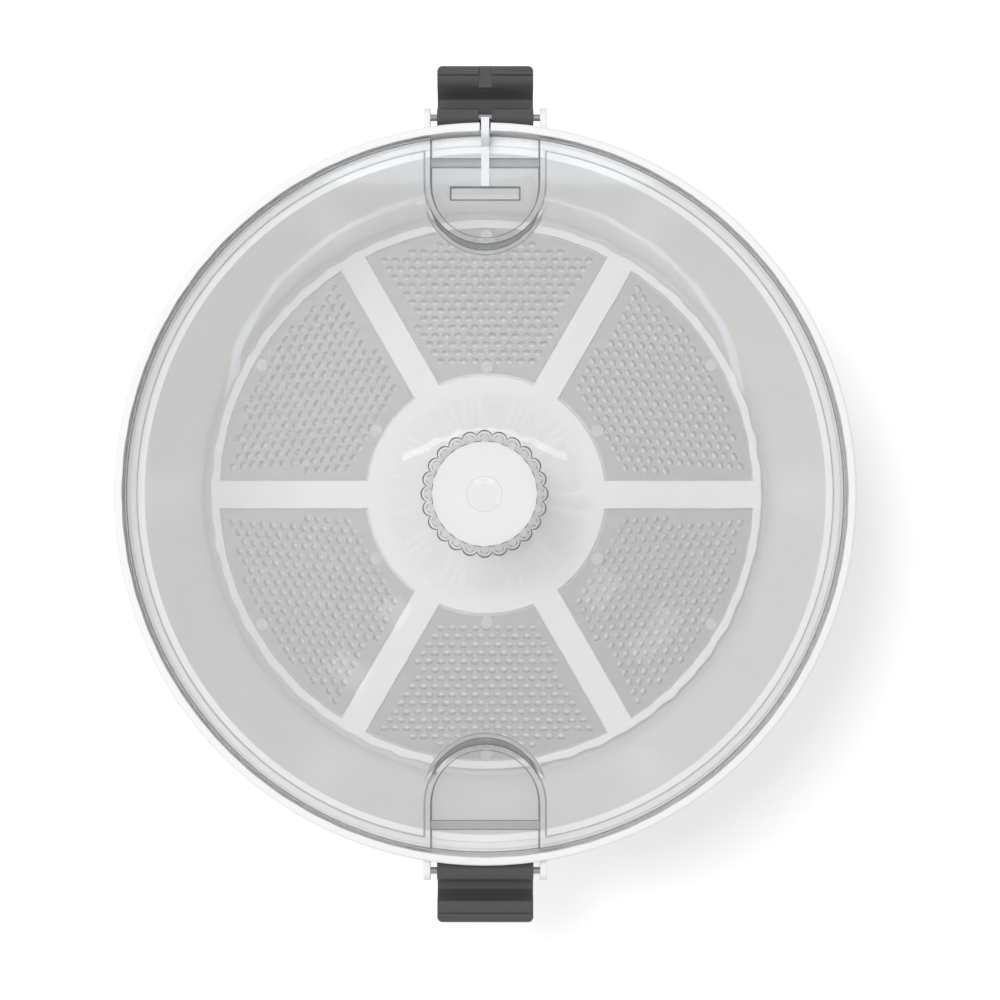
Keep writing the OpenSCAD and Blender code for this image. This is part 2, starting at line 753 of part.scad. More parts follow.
module clip_closed(slotted) {
  difference() {
    union() {
      intersection() {
        rotate([90, 0, 0]) linear_extrude(2 * clip_half, center = true) clip_profile();
        translate([0, 0, -20]) linear_extrude(60) {
          translate([-clip_reach + clip_corner, -clip_half]) square([40, 2 * clip_half]);
          translate([-clip_reach, -clip_half + clip_corner]) square([40, 2 * (clip_half - clip_corner)]);
          for (s = [-1, 1]) translate([-clip_reach + clip_corner, s * (clip_half - clip_corner)])
            circle(r = clip_corner);
        }
      }
      rotate([90, 0, 0]) cylinder(r = barrel_r, h = 2 * clip_half, center = true);
    }
    rotate([90, 0, 0]) cylinder(r = clip_bore_r, h = 2 * clip_half + 2, center = true);
    if (slotted) {
      rotate([90, 0, 0]) cylinder(r = barrel_r + 0.1, h = 2 * slot_half, center = true);
      translate([pin_x - rod_x - rod_r - 0.3, -slot_half, -12]) cube([4, 2 * slot_half, 30]);
      translate([-clip_reach - 1, -slot_half, clip_deep - lip_h - 1])
        cube([clip_reach + 1.3 - clip_knee, 2 * slot_half, lip_h + 1.2]);
    }
  }
}

module clip(slotted) {
  color([0.24, 0.24, 0.25]) translate([pin_x, 0, z_pin]) rotate([0, clip_open, 0]) clip_closed(slotted);
}

module clip_right() {
  clip(true);
}

module clip_left() {
  rotate(180) clip(false);
}

// Lid
function dome_line(drop, r_end) = [
  for (i = [0 : dome_steps]) let(r = dome_r + (r_end - dome_r) * i / dome_steps) [r, z_brim + dome_rise(r) - drop]
];

module lid_shell() {
  rotate_extrude() polygon(concat(
    [[lid_r - skirt_w, z_skirt], [lid_r, z_skirt], [lid_r, z_brim - 0.6], [lid_r - 0.6, z_brim]],
    dome_line(0, neck_r + neck_t),
    [[neck_r + neck_t, z_neck], [neck_r, z_neck], [neck_r, z_dome - lid_t]],
    [for (i = [dome_steps : -1 : 0]) dome_line(lid_t, neck_r + neck_t)[i]],
    [[lid_r - skirt_w, z_brim - lid_t]]
  ));
}

module recess_wall() {
  intersection() {
    union() {
      linear_extrude_at(z_skirt, z_brim) u_shape(ledge_half);
      translate([recess_c, 0, z_brim - lid_t])
        cylinder(h = dome_h + lid_t, r1 = ledge_half + lid_t * 0.6,
          r2 = ledge_half + lid_t * 1.3 + recess_draft * dome_h);
    }
    rotate_extrude() polygon(concat(
      [[0, z_skirt], [lid_r, z_skirt], [lid_r, z_brim - 0.6], [lid_r - 0.6, z_brim]],
      dome_line(0, neck_r + neck_t),
      [[0, z_dome]]
    ));
  }
}

module u_shape(half) {
  translate([recess_c, 0]) circle(r = half);
  translate([recess_c, -half]) square([rim_r, 2 * half]);
}

module recess_cut() {
  linear_extrude_at(z_recess, z_brim + e) u_shape(recess_half);
  translate([recess_c, 0, z_brim])
    cylinder(r1 = ledge_half, r2 = ledge_half + recess_draft * dome_h, h = dome_h);
  translate([groove_x, -recess_half, z_recess - groove_h]) cube([groove_w, 2 * recess_half, groove_h + 1]);
}

// The rib's tongue goes down through the rim's notch; its back keeps inside the clip's swing
module interlock_rib() {
  swing = arc_pts([pin_x, z_pin], swing_r - rib_gap, 127, 170, 5);
  rotate([90, 0, 0]) linear_extrude(tongue_w, center = true) polygon(concat(
    [[pin_x - 0.8, z_rim], [seat_r + 0.2, z_rim]],
    swing,
    [[groove_x - 6.3, z_recess + 0.1], [groove_x - 6.3, z_recess - groove_h - 0.3]],
    [[lid_r - 1, z_recess - groove_h - 0.3]],
    [[lid_r - 0.2, z_rim - 2.1], [rod_x - rod_r + 0.2, z_rim - 2.1], [rod_x - rod_r + 0.2, rod_top + 0.4]],
    [[rod_x + rod_r, rod_top + 0.4], [rod_x + rod_r, z_pin + 2], [pin_x - 0.8, z_pin + 3.5]]
  ));
}

module lid() {
  color([0.82, 0.85, 0.88, 0.45]) {
    difference() {
      union() {
        lid_shell();
        for (a = [0, 180]) rotate(a) recess_wall();
      }
      for (a = [0, 180]) rotate(a) recess_cut();
      translate([pocket_x, -pocket_half, z_recess - pocket_h]) cube([pocket_w, 2 * pocket_half, pocket_h + 1]);
      for (a = [0, 180]) rotate(a + cap_turn) translate([0, -stud_half - 0.4, z_dome - 10])
        cube([neck_r + stud_out + 0.5, 2 * stud_half + 0.8, neck_h + 11]);
    }
    interlock_rib();
  }
}

module lid_seal() {
  color([0.62, 0.63, 0.64]) ring(lid_r - seal_inset, lid_r - seal_inset - seal_w, z_ledge, z_skirt);
}

// Filler cap: a clear fluted grip over a white plug
module flute_shape(wall) {
  circle(r = cap_r - flute_r + 0.1 - 0.8 * wall);
  around(flutes, cap_r - flute_r) circle(r = flute_r - wall, $fn = 32);
}

module lid_knob() {
  color([0.85, 0.88, 0.9, 0.5]) difference() {
    linear_extrude_at(z_grip_low, z_grip_top) flute_shape(0);
    linear_extrude_at(z_grip_low - 1, z_grip_top - grip_top) flute_shape(grip_t);
    translate([0, 0, z_grip_top - dimple_h]) cylinder(r1 = dimple_r - 1, r2 = dimple_r, h = dimple_h + e);
  }
}

module knob_insert() {
  color([0.9, 0.9, 0.9]) {
    rod(insert_r, z_insert, z_insert + insert_t);
    ring(neck_r - plug_gap, neck_r - plug_gap - plug_t, z_dome - lid_t - 3, z_insert + e);
    for (a = [0, 180]) rotate(a) translate([neck_r - 1, -stud_half, z_dome - lid_t - 2.6])
      cube([1 + stud_out, 2 * stud_half, 2.2]);
  }
}

// Peeling disc, drawn with the plates between the spokes
module wedge(angle, gap) {
  apex = gap / sin(180 / spokes);
  rotate(angle) polygon([
    [apex, 0],
    [apex + far * cos(180 / spokes), far * sin(180 / spokes)],
    [apex + far * cos(180 / spokes), -far * sin(180 / spokes)]
  ]);
}

module sector(angle, r_in, r_out, gap) {
  intersection() {
    difference() {
      circle(r = r_out);
      circle(r = r_in);
    }
    wedge(angle, gap);
  }
}

module disc_carrier() {
  color([0.95, 0.95, 0.93]) difference() {
    union() {
      rod(disc_r, z_disc, z_seat + spoke_h);
      translate([0, 0, z_seat]) cylinder(r1 = hub_r, r2 = hub_top_r, h = hub_h);
    }
    for (a = spoke_angles) translate([0, 0, z_seat])
      linear_extrude(hub_h) sector(a + 180 / spokes, hub_r, disc_r - disc_rim_w, spoke_w / 2);
    rod(collar_r + 1.6, z_disc - 1, z_floor + collar_h + 1.2);
    difference() {
      translate([0, 0, z_disc - e])
        cylinder(r1 = hub_r - hub_wall, r2 = hub_top_r - 2, h = z_hub - hub_wall - z_disc);
      rod(socket_r + 2.4, z_disc, z_hub);
    }
    rod(socket_r + seat, z_column, z_hub - 1.5);
    for (a = spoke_angles) rotate(a + 180 / spokes)
      for (r = rivet_rings) translate([r, 0, 0]) rod(rivet_r + rivet_gap, z_disc - 1, z_seat + 1);
  }
}

module grater_plate(index) {
  angle = spoke_angles[index] + 180 / spokes;
  gap = spoke_w / 2 + plate_gap;
  rows = floor((plate_out - plate_in - 2 * plate_margin) / tooth_row);
  color([0.75, 0.76, 0.78]) rotate(angle) translate([0, 0, z_seat]) linear_extrude(plate_t) difference() {
    sector(0, plate_in, plate_out, gap);
    for (i = [0 : rows]) {
      x = plate_in + plate_margin + 0.8 + i * tooth_row;
      shift = i % 2 * tooth_pitch / 2;
      reach = x * tan(180 / spokes) - gap / cos(180 / spokes) - plate_margin;
      n = floor((reach - shift) / tooth_pitch);
      for (k = [-n - i % 2 : n]) let(y = shift + k * tooth_pitch)
        if (norm([x, y]) < plate_out - plate_margin + 0.4) translate([x, y]) circle(r = tooth_r, $fn = 24);
    }
    for (r = rivet_rings) translate([r, 0]) circle(r = rivet_r + rivet_gap, $fn = 24);
  }
}

module grater_plate_1() {
  grater_plate(0);
}

module grater_plate_2() {
  grater_plate(1);
}

module grater_plate_3() {
  grater_plate(2);
}

module grater_plate_4() {
  grater_plate(3);
}

module grater_plate_5() {
  grater_plate(4);
}

module grater_plate_6() {
  grater_plate(5);
}

module plate_rivets() {
  color([0.7, 0.71, 0.73]) for (a = spoke_angles) rotate(a + 180 / spokes)
    for (r = rivet_rings) translate([r, 0, 0]) {
      rod(rivet_r, z_disc + 0.2, z_seat + plate_t + 0.1);
      rod(rivet_r + rivet_head, z_seat + plate_t, z_seat + plate_t + rivet_head);
    }
}

module drive_flats(gap, z0, z1) {
  intersection() {
    rod(shaft_r + gap, z0, z1);
    translate([-far, -flats / 2 - gap, z0]) cube([2 * far, flats + 2 * gap, z1 - z0]);
  }
}

module drive_socket() {
  color([0.72, 0.72, 0.74]) difference() {
    rod(socket_r, socket_low, z_hub - 1.5);
    drive_flats(0.08, socket_low - 1, shaft_top + 0.2);
  }
}

// Main shaft and its bearings
module main_shaft() {
  color([0.75, 0.76, 0.78]) difference() {
    union() {
      rod(shaft_r, z_plate_low - bush_drop - 3, socket_low - 1);
      drive_flats(0, socket_low - 1 - e, shaft_top);
    }
    ring(shaft_r + 2, shaft_r - flat_in, z_plate_low - bush_drop - clip_groove, z_plate_low - bush_drop - 0.5);
    translate([shaft_r - flat_in, -far, z_plate + hub_gap])
      cube([far, 2 * far, z_boss - z_plate - 2 * hub_gap]);
  }
}

module output_gear() {
  color([0.9, 0.88, 0.8]) difference() {
    union() {
      translate([0, 0, z_gear_2]) spur(mod_2, wheel_teeth, gear_2_w, idler_angle);
      rod(gear_hub_r, z_plate + hub_gap, z_boss - hub_gap);
    }
    difference() {
      rod(shaft_r + seat, z_plate, z_boss);
      translate([shaft_r - flat_in + seat, -far, z_plate]) cube([far, 2 * far, z_boss - z_plate]);
    }
    ring(mod_2 * wheel_teeth / 2 - web_out, web_in, z_gear_2 + gear_2_w - web_sink, z_gear_2 + gear_2_w + 1);
    ring(mod_2 * wheel_teeth / 2 - web_out, web_in, z_gear_2 - 1, z_gear_2 + web_sink);
  }
}

module shaft_circlip() {
  color([0.6, 0.6, 0.62]) difference() {
    ring(shaft_r + 2.4, shaft_r - flat_in + 0.05,
      z_plate_low - bush_drop - clip_groove + 0.1, z_plate_low - bush_drop - 0.6);
    translate([0, -2.6, z_plate_low - bush_drop - 2]) cube([10, 5.2, 2]);
  }
}

module thrust_washer() {
  color([0.78, 0.7, 0.5]) ring(shaft_r + 4.5, shaft_r + 0.1, z_boss - hub_gap + e, z_boss - e);
}

module upper_bush() {
  color([0.78, 0.6, 0.35]) ring(bush_r, shaft_r + run, z_boss, z_column - seal_pocket - 0.2);
}

module lower_bush() {
  color([0.78, 0.6, 0.35]) ring(bush_r, shaft_r + run, z_plate_low - bush_drop, z_plate + hub_gap - e);
}

module shaft_seal() {
  color([0.2, 0.2, 0.2]) ring(column_r - seal_wall - seat, shaft_r + 0.1, z_column - seal_pocket, z_column - 0.4);
}

// Gear plate and intermediate gear
module gear_plate() {
  color([0.72, 0.73, 0.74]) difference() {
    union() {
      rod(gear_plate_r, z_plate_low, z_plate);
      rod(bush_r + 3, z_plate_low - bush_drop, z_plate);
      translate(idler_pos) rod(axle_r + axle_wall + 1, z_plate_low - axle_foot_h, z_plate);
      translate(motor_pos) around(2, bolt_ring) rod(5, motor_stack_z + stack_h + bracket_rise + e, z_plate);
    }
    rod(bush_r + seat, z_plate_low - bush_drop - 1, z_plate + 1);
    translate(idler_pos) rod(axle_r + seat, z_plate_low - axle_foot_h - 1, z_plate + 1);
    translate(motor_pos) rod(mod_1 * (pinion_teeth + 2) / 2 + 0.8, z_plate_low - 1, z_plate + 1);
    translate(motor_pos) around(2, bolt_ring) rod(bolt_r + thread_gap, z_plate_low - 6, z_plate - 1);
    around(4, pillar_ring, 20) rod(screw_r + clear_gap, z_plate_low - 1, z_plate + 1);
    for (a = [-75, -15, 60]) rotate(a) translate([58, 0, 0]) rod(lighten_r, z_plate_low - 1, z_plate + 1);
  }
}

module gear_plate_screws() {
  color([0.7, 0.7, 0.72]) around(4, pillar_ring, 20)
    screw(screw_head_r, head_h, screw_r, z_plate_low - head_h, z_plate + screw_bite);
}

module intermediate_axle() {
  color([0.75, 0.76, 0.78]) translate(idler_pos) rod(axle_r, z_plate_low - axle_foot_h, z_deck - deck_t - 1.2);
}

module intermediate_gear() {
  color([0.9, 0.88, 0.8]) translate(idler_pos) difference() {
    union() {
      translate([0, 0, z_gear_1]) spur(mod_1, wheel_teeth, gear_1_w, mesh_angle);
      translate([0, 0, z_gear_1 + gear_1_w - e])
        spur(mod_2, pinion_teeth, gear_2_w + 5, idler_angle + 180 + 180 / pinion_teeth);
      rod(8, z_plate + hub_gap, z_gear_1 + e);
    }
    rod(axle_r + run, z_plate, z_deck);
    ring(mod_1 * wheel_teeth / 2 - web_out, web_in + 2, z_gear_1 - 1, z_gear_1 + web_sink + 0.5);
  }
}

// Shaded-pole motor, drawn round its own shaft
module motor_stator() {
  color([0.5, 0.5, 0.52]) translate(motor_pos) difference() {
    translate([-stack_half, -stack_half - window_half, motor_stack_z])
      cube([2 * stack_half, 2 * stack_half + window_half, stack_h]);
    rod(rotor_r + air_gap, motor_stack_z - 1, motor_stack_z + stack_h + 1);
    translate([-window_half, -stack_half - 3.5, motor_stack_z - 1])
      cube([2 * window_half, coil_t + 3.5, stack_h + 2]);
    around(2, bolt_ring) rod(bolt_r + clear_gap, motor_stack_z - 1, motor_stack_z + stack_h + 1);
    translate([-1.2, -stack_half + coil_t - 2, motor_stack_z - 1]) cube([2.4, 8, stack_h + 2]);
  }
}

module motor_coil() {
  low = -stack_half - window_half;
  color([0.72, 0.42, 0.2]) translate(motor_pos) difference() {
    translate([-coil_half, low - coil_t, motor_stack_z - coil_t])
      cube([2 * coil_half, bridge_h + 2 * coil_t - 0.5, stack_h + 2 * coil_t]);
    translate([-window_half, low - 0.2, motor_stack_z - 0.2])
      cube([2 * window_half, bridge_h + 0.4, stack_h + 0.4]);
  }
}

module bracket(z_bar, z_foot_low, z_foot_high, z_boss_low, z_boss_high) {
  translate(motor_pos) difference() {
    union() {
      translate([-bolt_ring - bracket_foot_r, -bracket_half, z_bar])
        cube([2 * (bolt_ring + bracket_foot_r), 2 * bracket_half, bracket_t]);
      around(2, bolt_ring) rod(bracket_foot_r, z_foot_low, z_foot_high);
      rod(motor_bush_r + 3, z_boss_low, z_boss_high);
    }
    rod(motor_bush_r + seat, z_boss_low - 1, z_boss_high + 1);
    around(2, bolt_ring) rod(bolt_r + clear_gap, z_foot_low - 1, z_foot_high + 4);
  }
}

module motor_upper_bracket() {
  top = motor_stack_z + stack_h;
  color([0.6, 0.61, 0.62])
    bracket(top + bracket_rise - bracket_t, top, top + bracket_rise, top + bush_low, top + bush_top);
}

module motor_lower_bracket() {
  low = motor_stack_z;
  color([0.6, 0.61, 0.62]) bracket(low - bracket_rise, low - bracket_rise, low, low - bush_top, low - bush_low);
}

module motor_bushes() {
  top = motor_stack_z + stack_h;
  color([0.78, 0.6, 0.35]) translate(motor_pos) {
    ring(motor_bush_r, motor_shaft_r + run, top + bush_low, top + bush_top);
    ring(motor_bush_r, motor_shaft_r + run, motor_stack_z - bush_top, motor_stack_z - bush_low);
  }
}

module motor_bolts() {
  color([0.7, 0.7, 0.72]) translate(motor_pos) around(2, bolt_ring)
    screw(bolt_head_r, head_h, bolt_r, motor_stack_z - bracket_rise - head_h, z_plate - 1.5);
}

module motor_shaft() {
  color([0.75, 0.76, 0.78]) translate(motor_pos) rod(motor_shaft_r, z_fan, z_gear_1 + gear_1_w + 1.6);
}

module motor_rotor() {
  color([0.55, 0.55, 0.57]) translate(motor_pos) {
    ring(rotor_r, motor_shaft_r + seat, motor_stack_z, motor_stack_z + stack_h);
    ring(rotor_r - 1.6, motor_shaft_r + seat, motor_stack_z - end_ring_h, motor_stack_z + e);
    ring(rotor_r - 1.6, motor_shaft_r + seat, motor_stack_z + stack_h - e, motor_stack_z + stack_h + end_ring_h);
  }
}

module motor_pinion() {
  color([0.8, 0.7, 0.45]) translate([motor_pos[0], motor_pos[1], z_gear_1 - 1]) difference() {
    spur(mod_1, pinion_teeth, gear_1_w + 2, mesh_angle + 180 + 180 / pinion_teeth);
    rod(motor_shaft_r + seat, -1, gear_1_w + 3);
  }
}

module cooling_fan() {
  color([0.3, 0.3, 0.32]) translate([motor_pos[0], motor_pos[1], z_fan]) difference() {
    union() {
      rod(fan_hub_r, 0, fan_h);
      rod(fan_r - 2, 0, fan_t);
      around(fan_blades, fan_hub_r - 2) translate([0, -fan_t / 2, 0]) cube([fan_r - fan_hub_r + 2, fan_t, fan_h]);
    }
    rod(motor_shaft_r + seat, -1, fan_h + 1);
  }
}

// Front switch
module rotary_switch() {
  color([0.2, 0.2, 0.21]) difference() {
    union() {
      translate([-switch_side / 2, -body_y, knob_axis_z - switch_side / 2])
        cube([switch_side, switch_l, switch_side]);
      along_y(neck_thread_r, -pad_y - nut_h - 0.6, -body_y + e, knob_axis_z);
    }
    along_y(switch_shaft_r + run, -pad_y - 4, -body_y + 10, knob_axis_z);
  }
}

module switch_nut() {
  color([0.7, 0.7, 0.72]) difference() {
    translate([0, -pad_y, knob_axis_z]) rotate([90, 0, 0]) cylinder(r = nut_r, h = nut_h, $fn = 6);
    along_y(neck_thread_r + seat, -pad_y - 4, -pad_y + 1, knob_axis_z);
  }
}

module knob_trim() {
  color([0.55, 0.56, 0.58]) difference() {
    along_y(knob_r + trim_gap + trim_w, -pad_y - trim_h, -pad_y, knob_axis_z);
    along_y(knob_r + trim_gap, -pad_y - trim_h - 1, -pad_y + 1, knob_axis_z);
  }
}

module control_knob() {
  back = -pad_y - knob_gap;
  color([0.24, 0.24, 0.25]) difference() {
    union() {
      translate([0, back, knob_axis_z]) rotate([90, 0, 0])
        cylinder(r1 = knob_r, r2 = knob_r - knob_draft, h = knob_l);
      along_y(switch_shaft_r, back - 4, -body_y + 9, knob_axis_z);
    }
    difference() {
      along_y(nut_r + 1.2, back - nut_h - 1, back + 1, knob_axis_z);
      along_y(switch_shaft_r, back - 6, back + 2, knob_axis_z);
    }
    translate([-mark_w / 2, back - knob_l - 1, knob_axis_z + knob_r - mark_in]) cube([mark_w, 1 + mark_t, mark_l]);
  }
}

module knob_pointer() {
  back = -pad_y - knob_gap;
  color([0.92, 0.92, 0.92])
    translate([-mark_w / 2 + seat, back - knob_l, knob_axis_z + knob_r - mark_in + seat])
      cube([mark_w - 2 * seat, mark_t - seat, mark_l - 2 * seat]);
}

// Lid interlock: rod, spring and microswitch in the tower
module push_rod() {
  color([0.92, 0.92, 0.9]) translate([rod_x, 0, 0]) {
    rod(rod_r, rod_low, rod_top);
    rod(spring_r + spring_wire + 0.1, spring_top, spring_top + 3);
  }
}

function helix_ring(t) =
  let(a = 360 * spring_turns * t, z = spring_wire + (spring_l - 2 * spring_wire) * t)
  [for (k = [0 : 7]) let(w = 45 * k) [
    (spring_r + spring_wire * cos(w)) * cos(a), (spring_r + spring_wire * cos(w)) * sin(a), z + spring_wire * sin(w)
  ]];

module rod_spring() {
  n = spring_turns * 16;
  pts = [for (i = [0 : n]) each helix_ring(i / n)];
  color([0.7, 0.71, 0.73]) translate([rod_x, 0, shelf_z + shelf_t]) polyhedron(
    points = pts,
    faces = concat(
      [[for (k = [0 : 7]) k]],
      [for (i = [0 : n - 1]) for (k = [0 : 7])
        [i * 8 + k, (i + 1) * 8 + k, (i + 1) * 8 + (k + 1) % 8, i * 8 + (k + 1) % 8]],
      [[for (k = [7 : -1 : 0]) n * 8 + k]]
    )
  );
}

module microswitch() {
  color([0.18, 0.18, 0.19]) difference() {
    translate([rod_x - micro_in, -micro_half, z_micro]) cube([micro_w, 2 * micro_half, micro_h]);
    translate([rod_x, 0, 0]) rod(plunger_r + run, z_plunger - rod_travel - 0.6, z_micro + micro_h + 1);
  }
}

module switch_plunger() {
  color([0.8, 0.3, 0.2]) translate([rod_x, 0, 0]) rod(plunger_r, z_plunger, rod_low);
}

// Cord inlet, terminals and inner wires
module cord_gland() {
  color([0.25, 0.25, 0.26]) difference() {
    union() {
      along_y(gland_r + gland_lip, gland_y, gland_y + gland_lip, gland_axis_z);
      along_y(gland_r, base_r - gland_l, gland_y + e, gland_axis_z);
      along_y(gland_r + 0.9, base_r - gland_l, base_r - gland_seat - 0.3, gland_axis_z);
    }
    along_y(gland_bore, base_r - gland_l - 1, gland_y + gland_lip + 1, gland_axis_z);
  }
}

module terminal_block() {
  color([0.9, 0.9, 0.85]) difference() {
    translate([block_x - 5, block_y - block_d / 2, z_base]) cube([2 * block_pitch + 10, block_d, block_h]);
    for (i = [0 : 2]) translate([block_x + i * block_pitch, block_y, z_base + 4]) cylinder(r = 2.2, h = block_h);
  }
}

module wire(points) {
  for (i = [0 : len(points) - 2]) {
    a = points[i];
    d = points[i + 1] - a;
    translate(a) rotate([0, acos(d[2] / norm(d)), atan2(d[1], d[0])])
      translate([0, 0, -wire_r]) cylinder(r = wire_r, h = norm(d) + 2 * wire_r, $fn = 8);
  }
}

module inner_wires() {
  z_top = z_base + block_h + 1.2;
  x = [for (i = [0 : 2]) block_x + i * block_pitch];
  y = block_y - 14;
  color([0.35, 0.25, 0.2]) {
    wire([[x[0], block_y, z_top], [x[0], y, z_top + 8], [x[0] - 8, -y, z_top + 8],
      [6, -body_y + switch_l + 1.6, knob_axis_z]]);
    wire([[x[1], block_y, z_top], [x[1], y, z_top + 12], [70, 20, z_top + 20], [rod_x - 20.5, 4, z_micro - 16],
      [rod_x - 1, 4, z_micro - micro_shelf_t - 1.6]]);
    wire([[x[2], block_y, z_top], [x[2], y, z_top + 4], [30, -20, z_top + 4],
      [motor_pos[0] + coil_half + 1.5, motor_pos[1] - stack_half - 10, motor_stack_z - coil_t / 2]]);
  }
}

base_housing();
bottom_cover();
feet();
cover_screws();
bowl();
bowl_screws();
deck_gasket();
clip_pins();
clip_left();
clip_right();
lid();
lid_seal();
lid_knob();
knob_insert();
disc_carrier();
grater_plate_1();
grater_plate_2();
grater_plate_3();
grater_plate_4();
grater_plate_5();
grater_plate_6();
plate_rivets();
drive_socket();
main_shaft();
output_gear();
shaft_circlip();
thrust_washer();
upper_bush();
lower_bush();
shaft_seal();
gear_plate();
gear_plate_screws();
intermediate_axle();
intermediate_gear();
motor_stator();
motor_coil();
motor_upper_bracket();
motor_lower_bracket();
motor_bushes();
motor_bolts();
motor_shaft();
motor_rotor();
motor_pinion();
cooling_fan();
rotary_switch();
switch_nut();
knob_trim();
control_knob();
knob_pointer();
push_rod();
rod_spring();
microswitch();
switch_plunger();
cord_gland();
terminal_block();
inner_wires();
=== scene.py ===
import math

import bmesh
import bpy
from bpy.props import FloatProperty, FloatVectorProperty, IntProperty, PointerProperty
from mathutils import Matrix, Vector
from mathutils.bvhtree import BVHTree


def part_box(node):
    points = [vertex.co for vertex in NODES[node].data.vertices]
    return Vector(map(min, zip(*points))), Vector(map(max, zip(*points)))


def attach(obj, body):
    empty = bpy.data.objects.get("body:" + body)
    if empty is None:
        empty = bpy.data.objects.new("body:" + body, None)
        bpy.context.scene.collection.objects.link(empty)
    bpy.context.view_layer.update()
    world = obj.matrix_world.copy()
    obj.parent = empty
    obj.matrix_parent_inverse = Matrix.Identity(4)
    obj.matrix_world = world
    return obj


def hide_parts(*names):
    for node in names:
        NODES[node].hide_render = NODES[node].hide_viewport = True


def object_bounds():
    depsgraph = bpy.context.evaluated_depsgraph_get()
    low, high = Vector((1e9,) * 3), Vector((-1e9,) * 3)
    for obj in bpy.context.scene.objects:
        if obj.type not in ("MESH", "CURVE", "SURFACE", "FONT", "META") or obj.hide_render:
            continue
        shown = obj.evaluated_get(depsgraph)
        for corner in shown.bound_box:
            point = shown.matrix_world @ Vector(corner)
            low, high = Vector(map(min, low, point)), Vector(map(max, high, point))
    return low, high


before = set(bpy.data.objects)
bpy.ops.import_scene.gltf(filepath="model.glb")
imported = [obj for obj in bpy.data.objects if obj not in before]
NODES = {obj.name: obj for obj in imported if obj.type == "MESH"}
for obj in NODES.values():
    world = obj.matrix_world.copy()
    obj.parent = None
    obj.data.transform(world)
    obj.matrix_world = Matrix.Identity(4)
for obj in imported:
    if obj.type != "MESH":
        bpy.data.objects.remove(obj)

bl_info = {
    "name": "Potato peeler finish",
    "version": (1, 0, 0),
    "blender": (4, 5, 0),
    "location": "3D View > Sidebar > Peeler",
    "description": "Dresses the packed frame of an electric potato peeler and sets up its studio",
    "category": "Object",
}

MM = 0.001
CAD_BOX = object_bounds()
CAP_LOW, CAP_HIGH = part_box("lid_knob")
KNOB_LOW, KNOB_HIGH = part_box("control_knob")
PLATE_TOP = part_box("grater_plate_1")[1].z
# the walls of the lid's recesses lie further out than RECESS_X and within RECESS_SPAN to each side
RECESS_X = 81.5 * MM
RECESS_SPAN = 27 * MM
# the grooves that the clips' lips drop into: their level, and limits round their two sides and half their length
GROOVE_Z = 207.2 * MM
GROOVE_NEAR, GROOVE_FAR = 110 * MM, 114.5 * MM
GROOVE_HALF = 18.4 * MM
# the lid's filler neck lies inside this radius
NECK_REACH = 16 * MM


def linear(code):
    """A six-digit sRGB hex value as linear red, green, blue and alpha."""
    parts = [int(code[i : i + 2], 16) / 255 for i in (0, 2, 4)]
    return [c / 12.92 if c <= 0.04045 else ((c + 0.055) / 1.055) ** 2.4 for c in parts] + [1.0]


# ---------------------------------------------------------------- sizes and colours


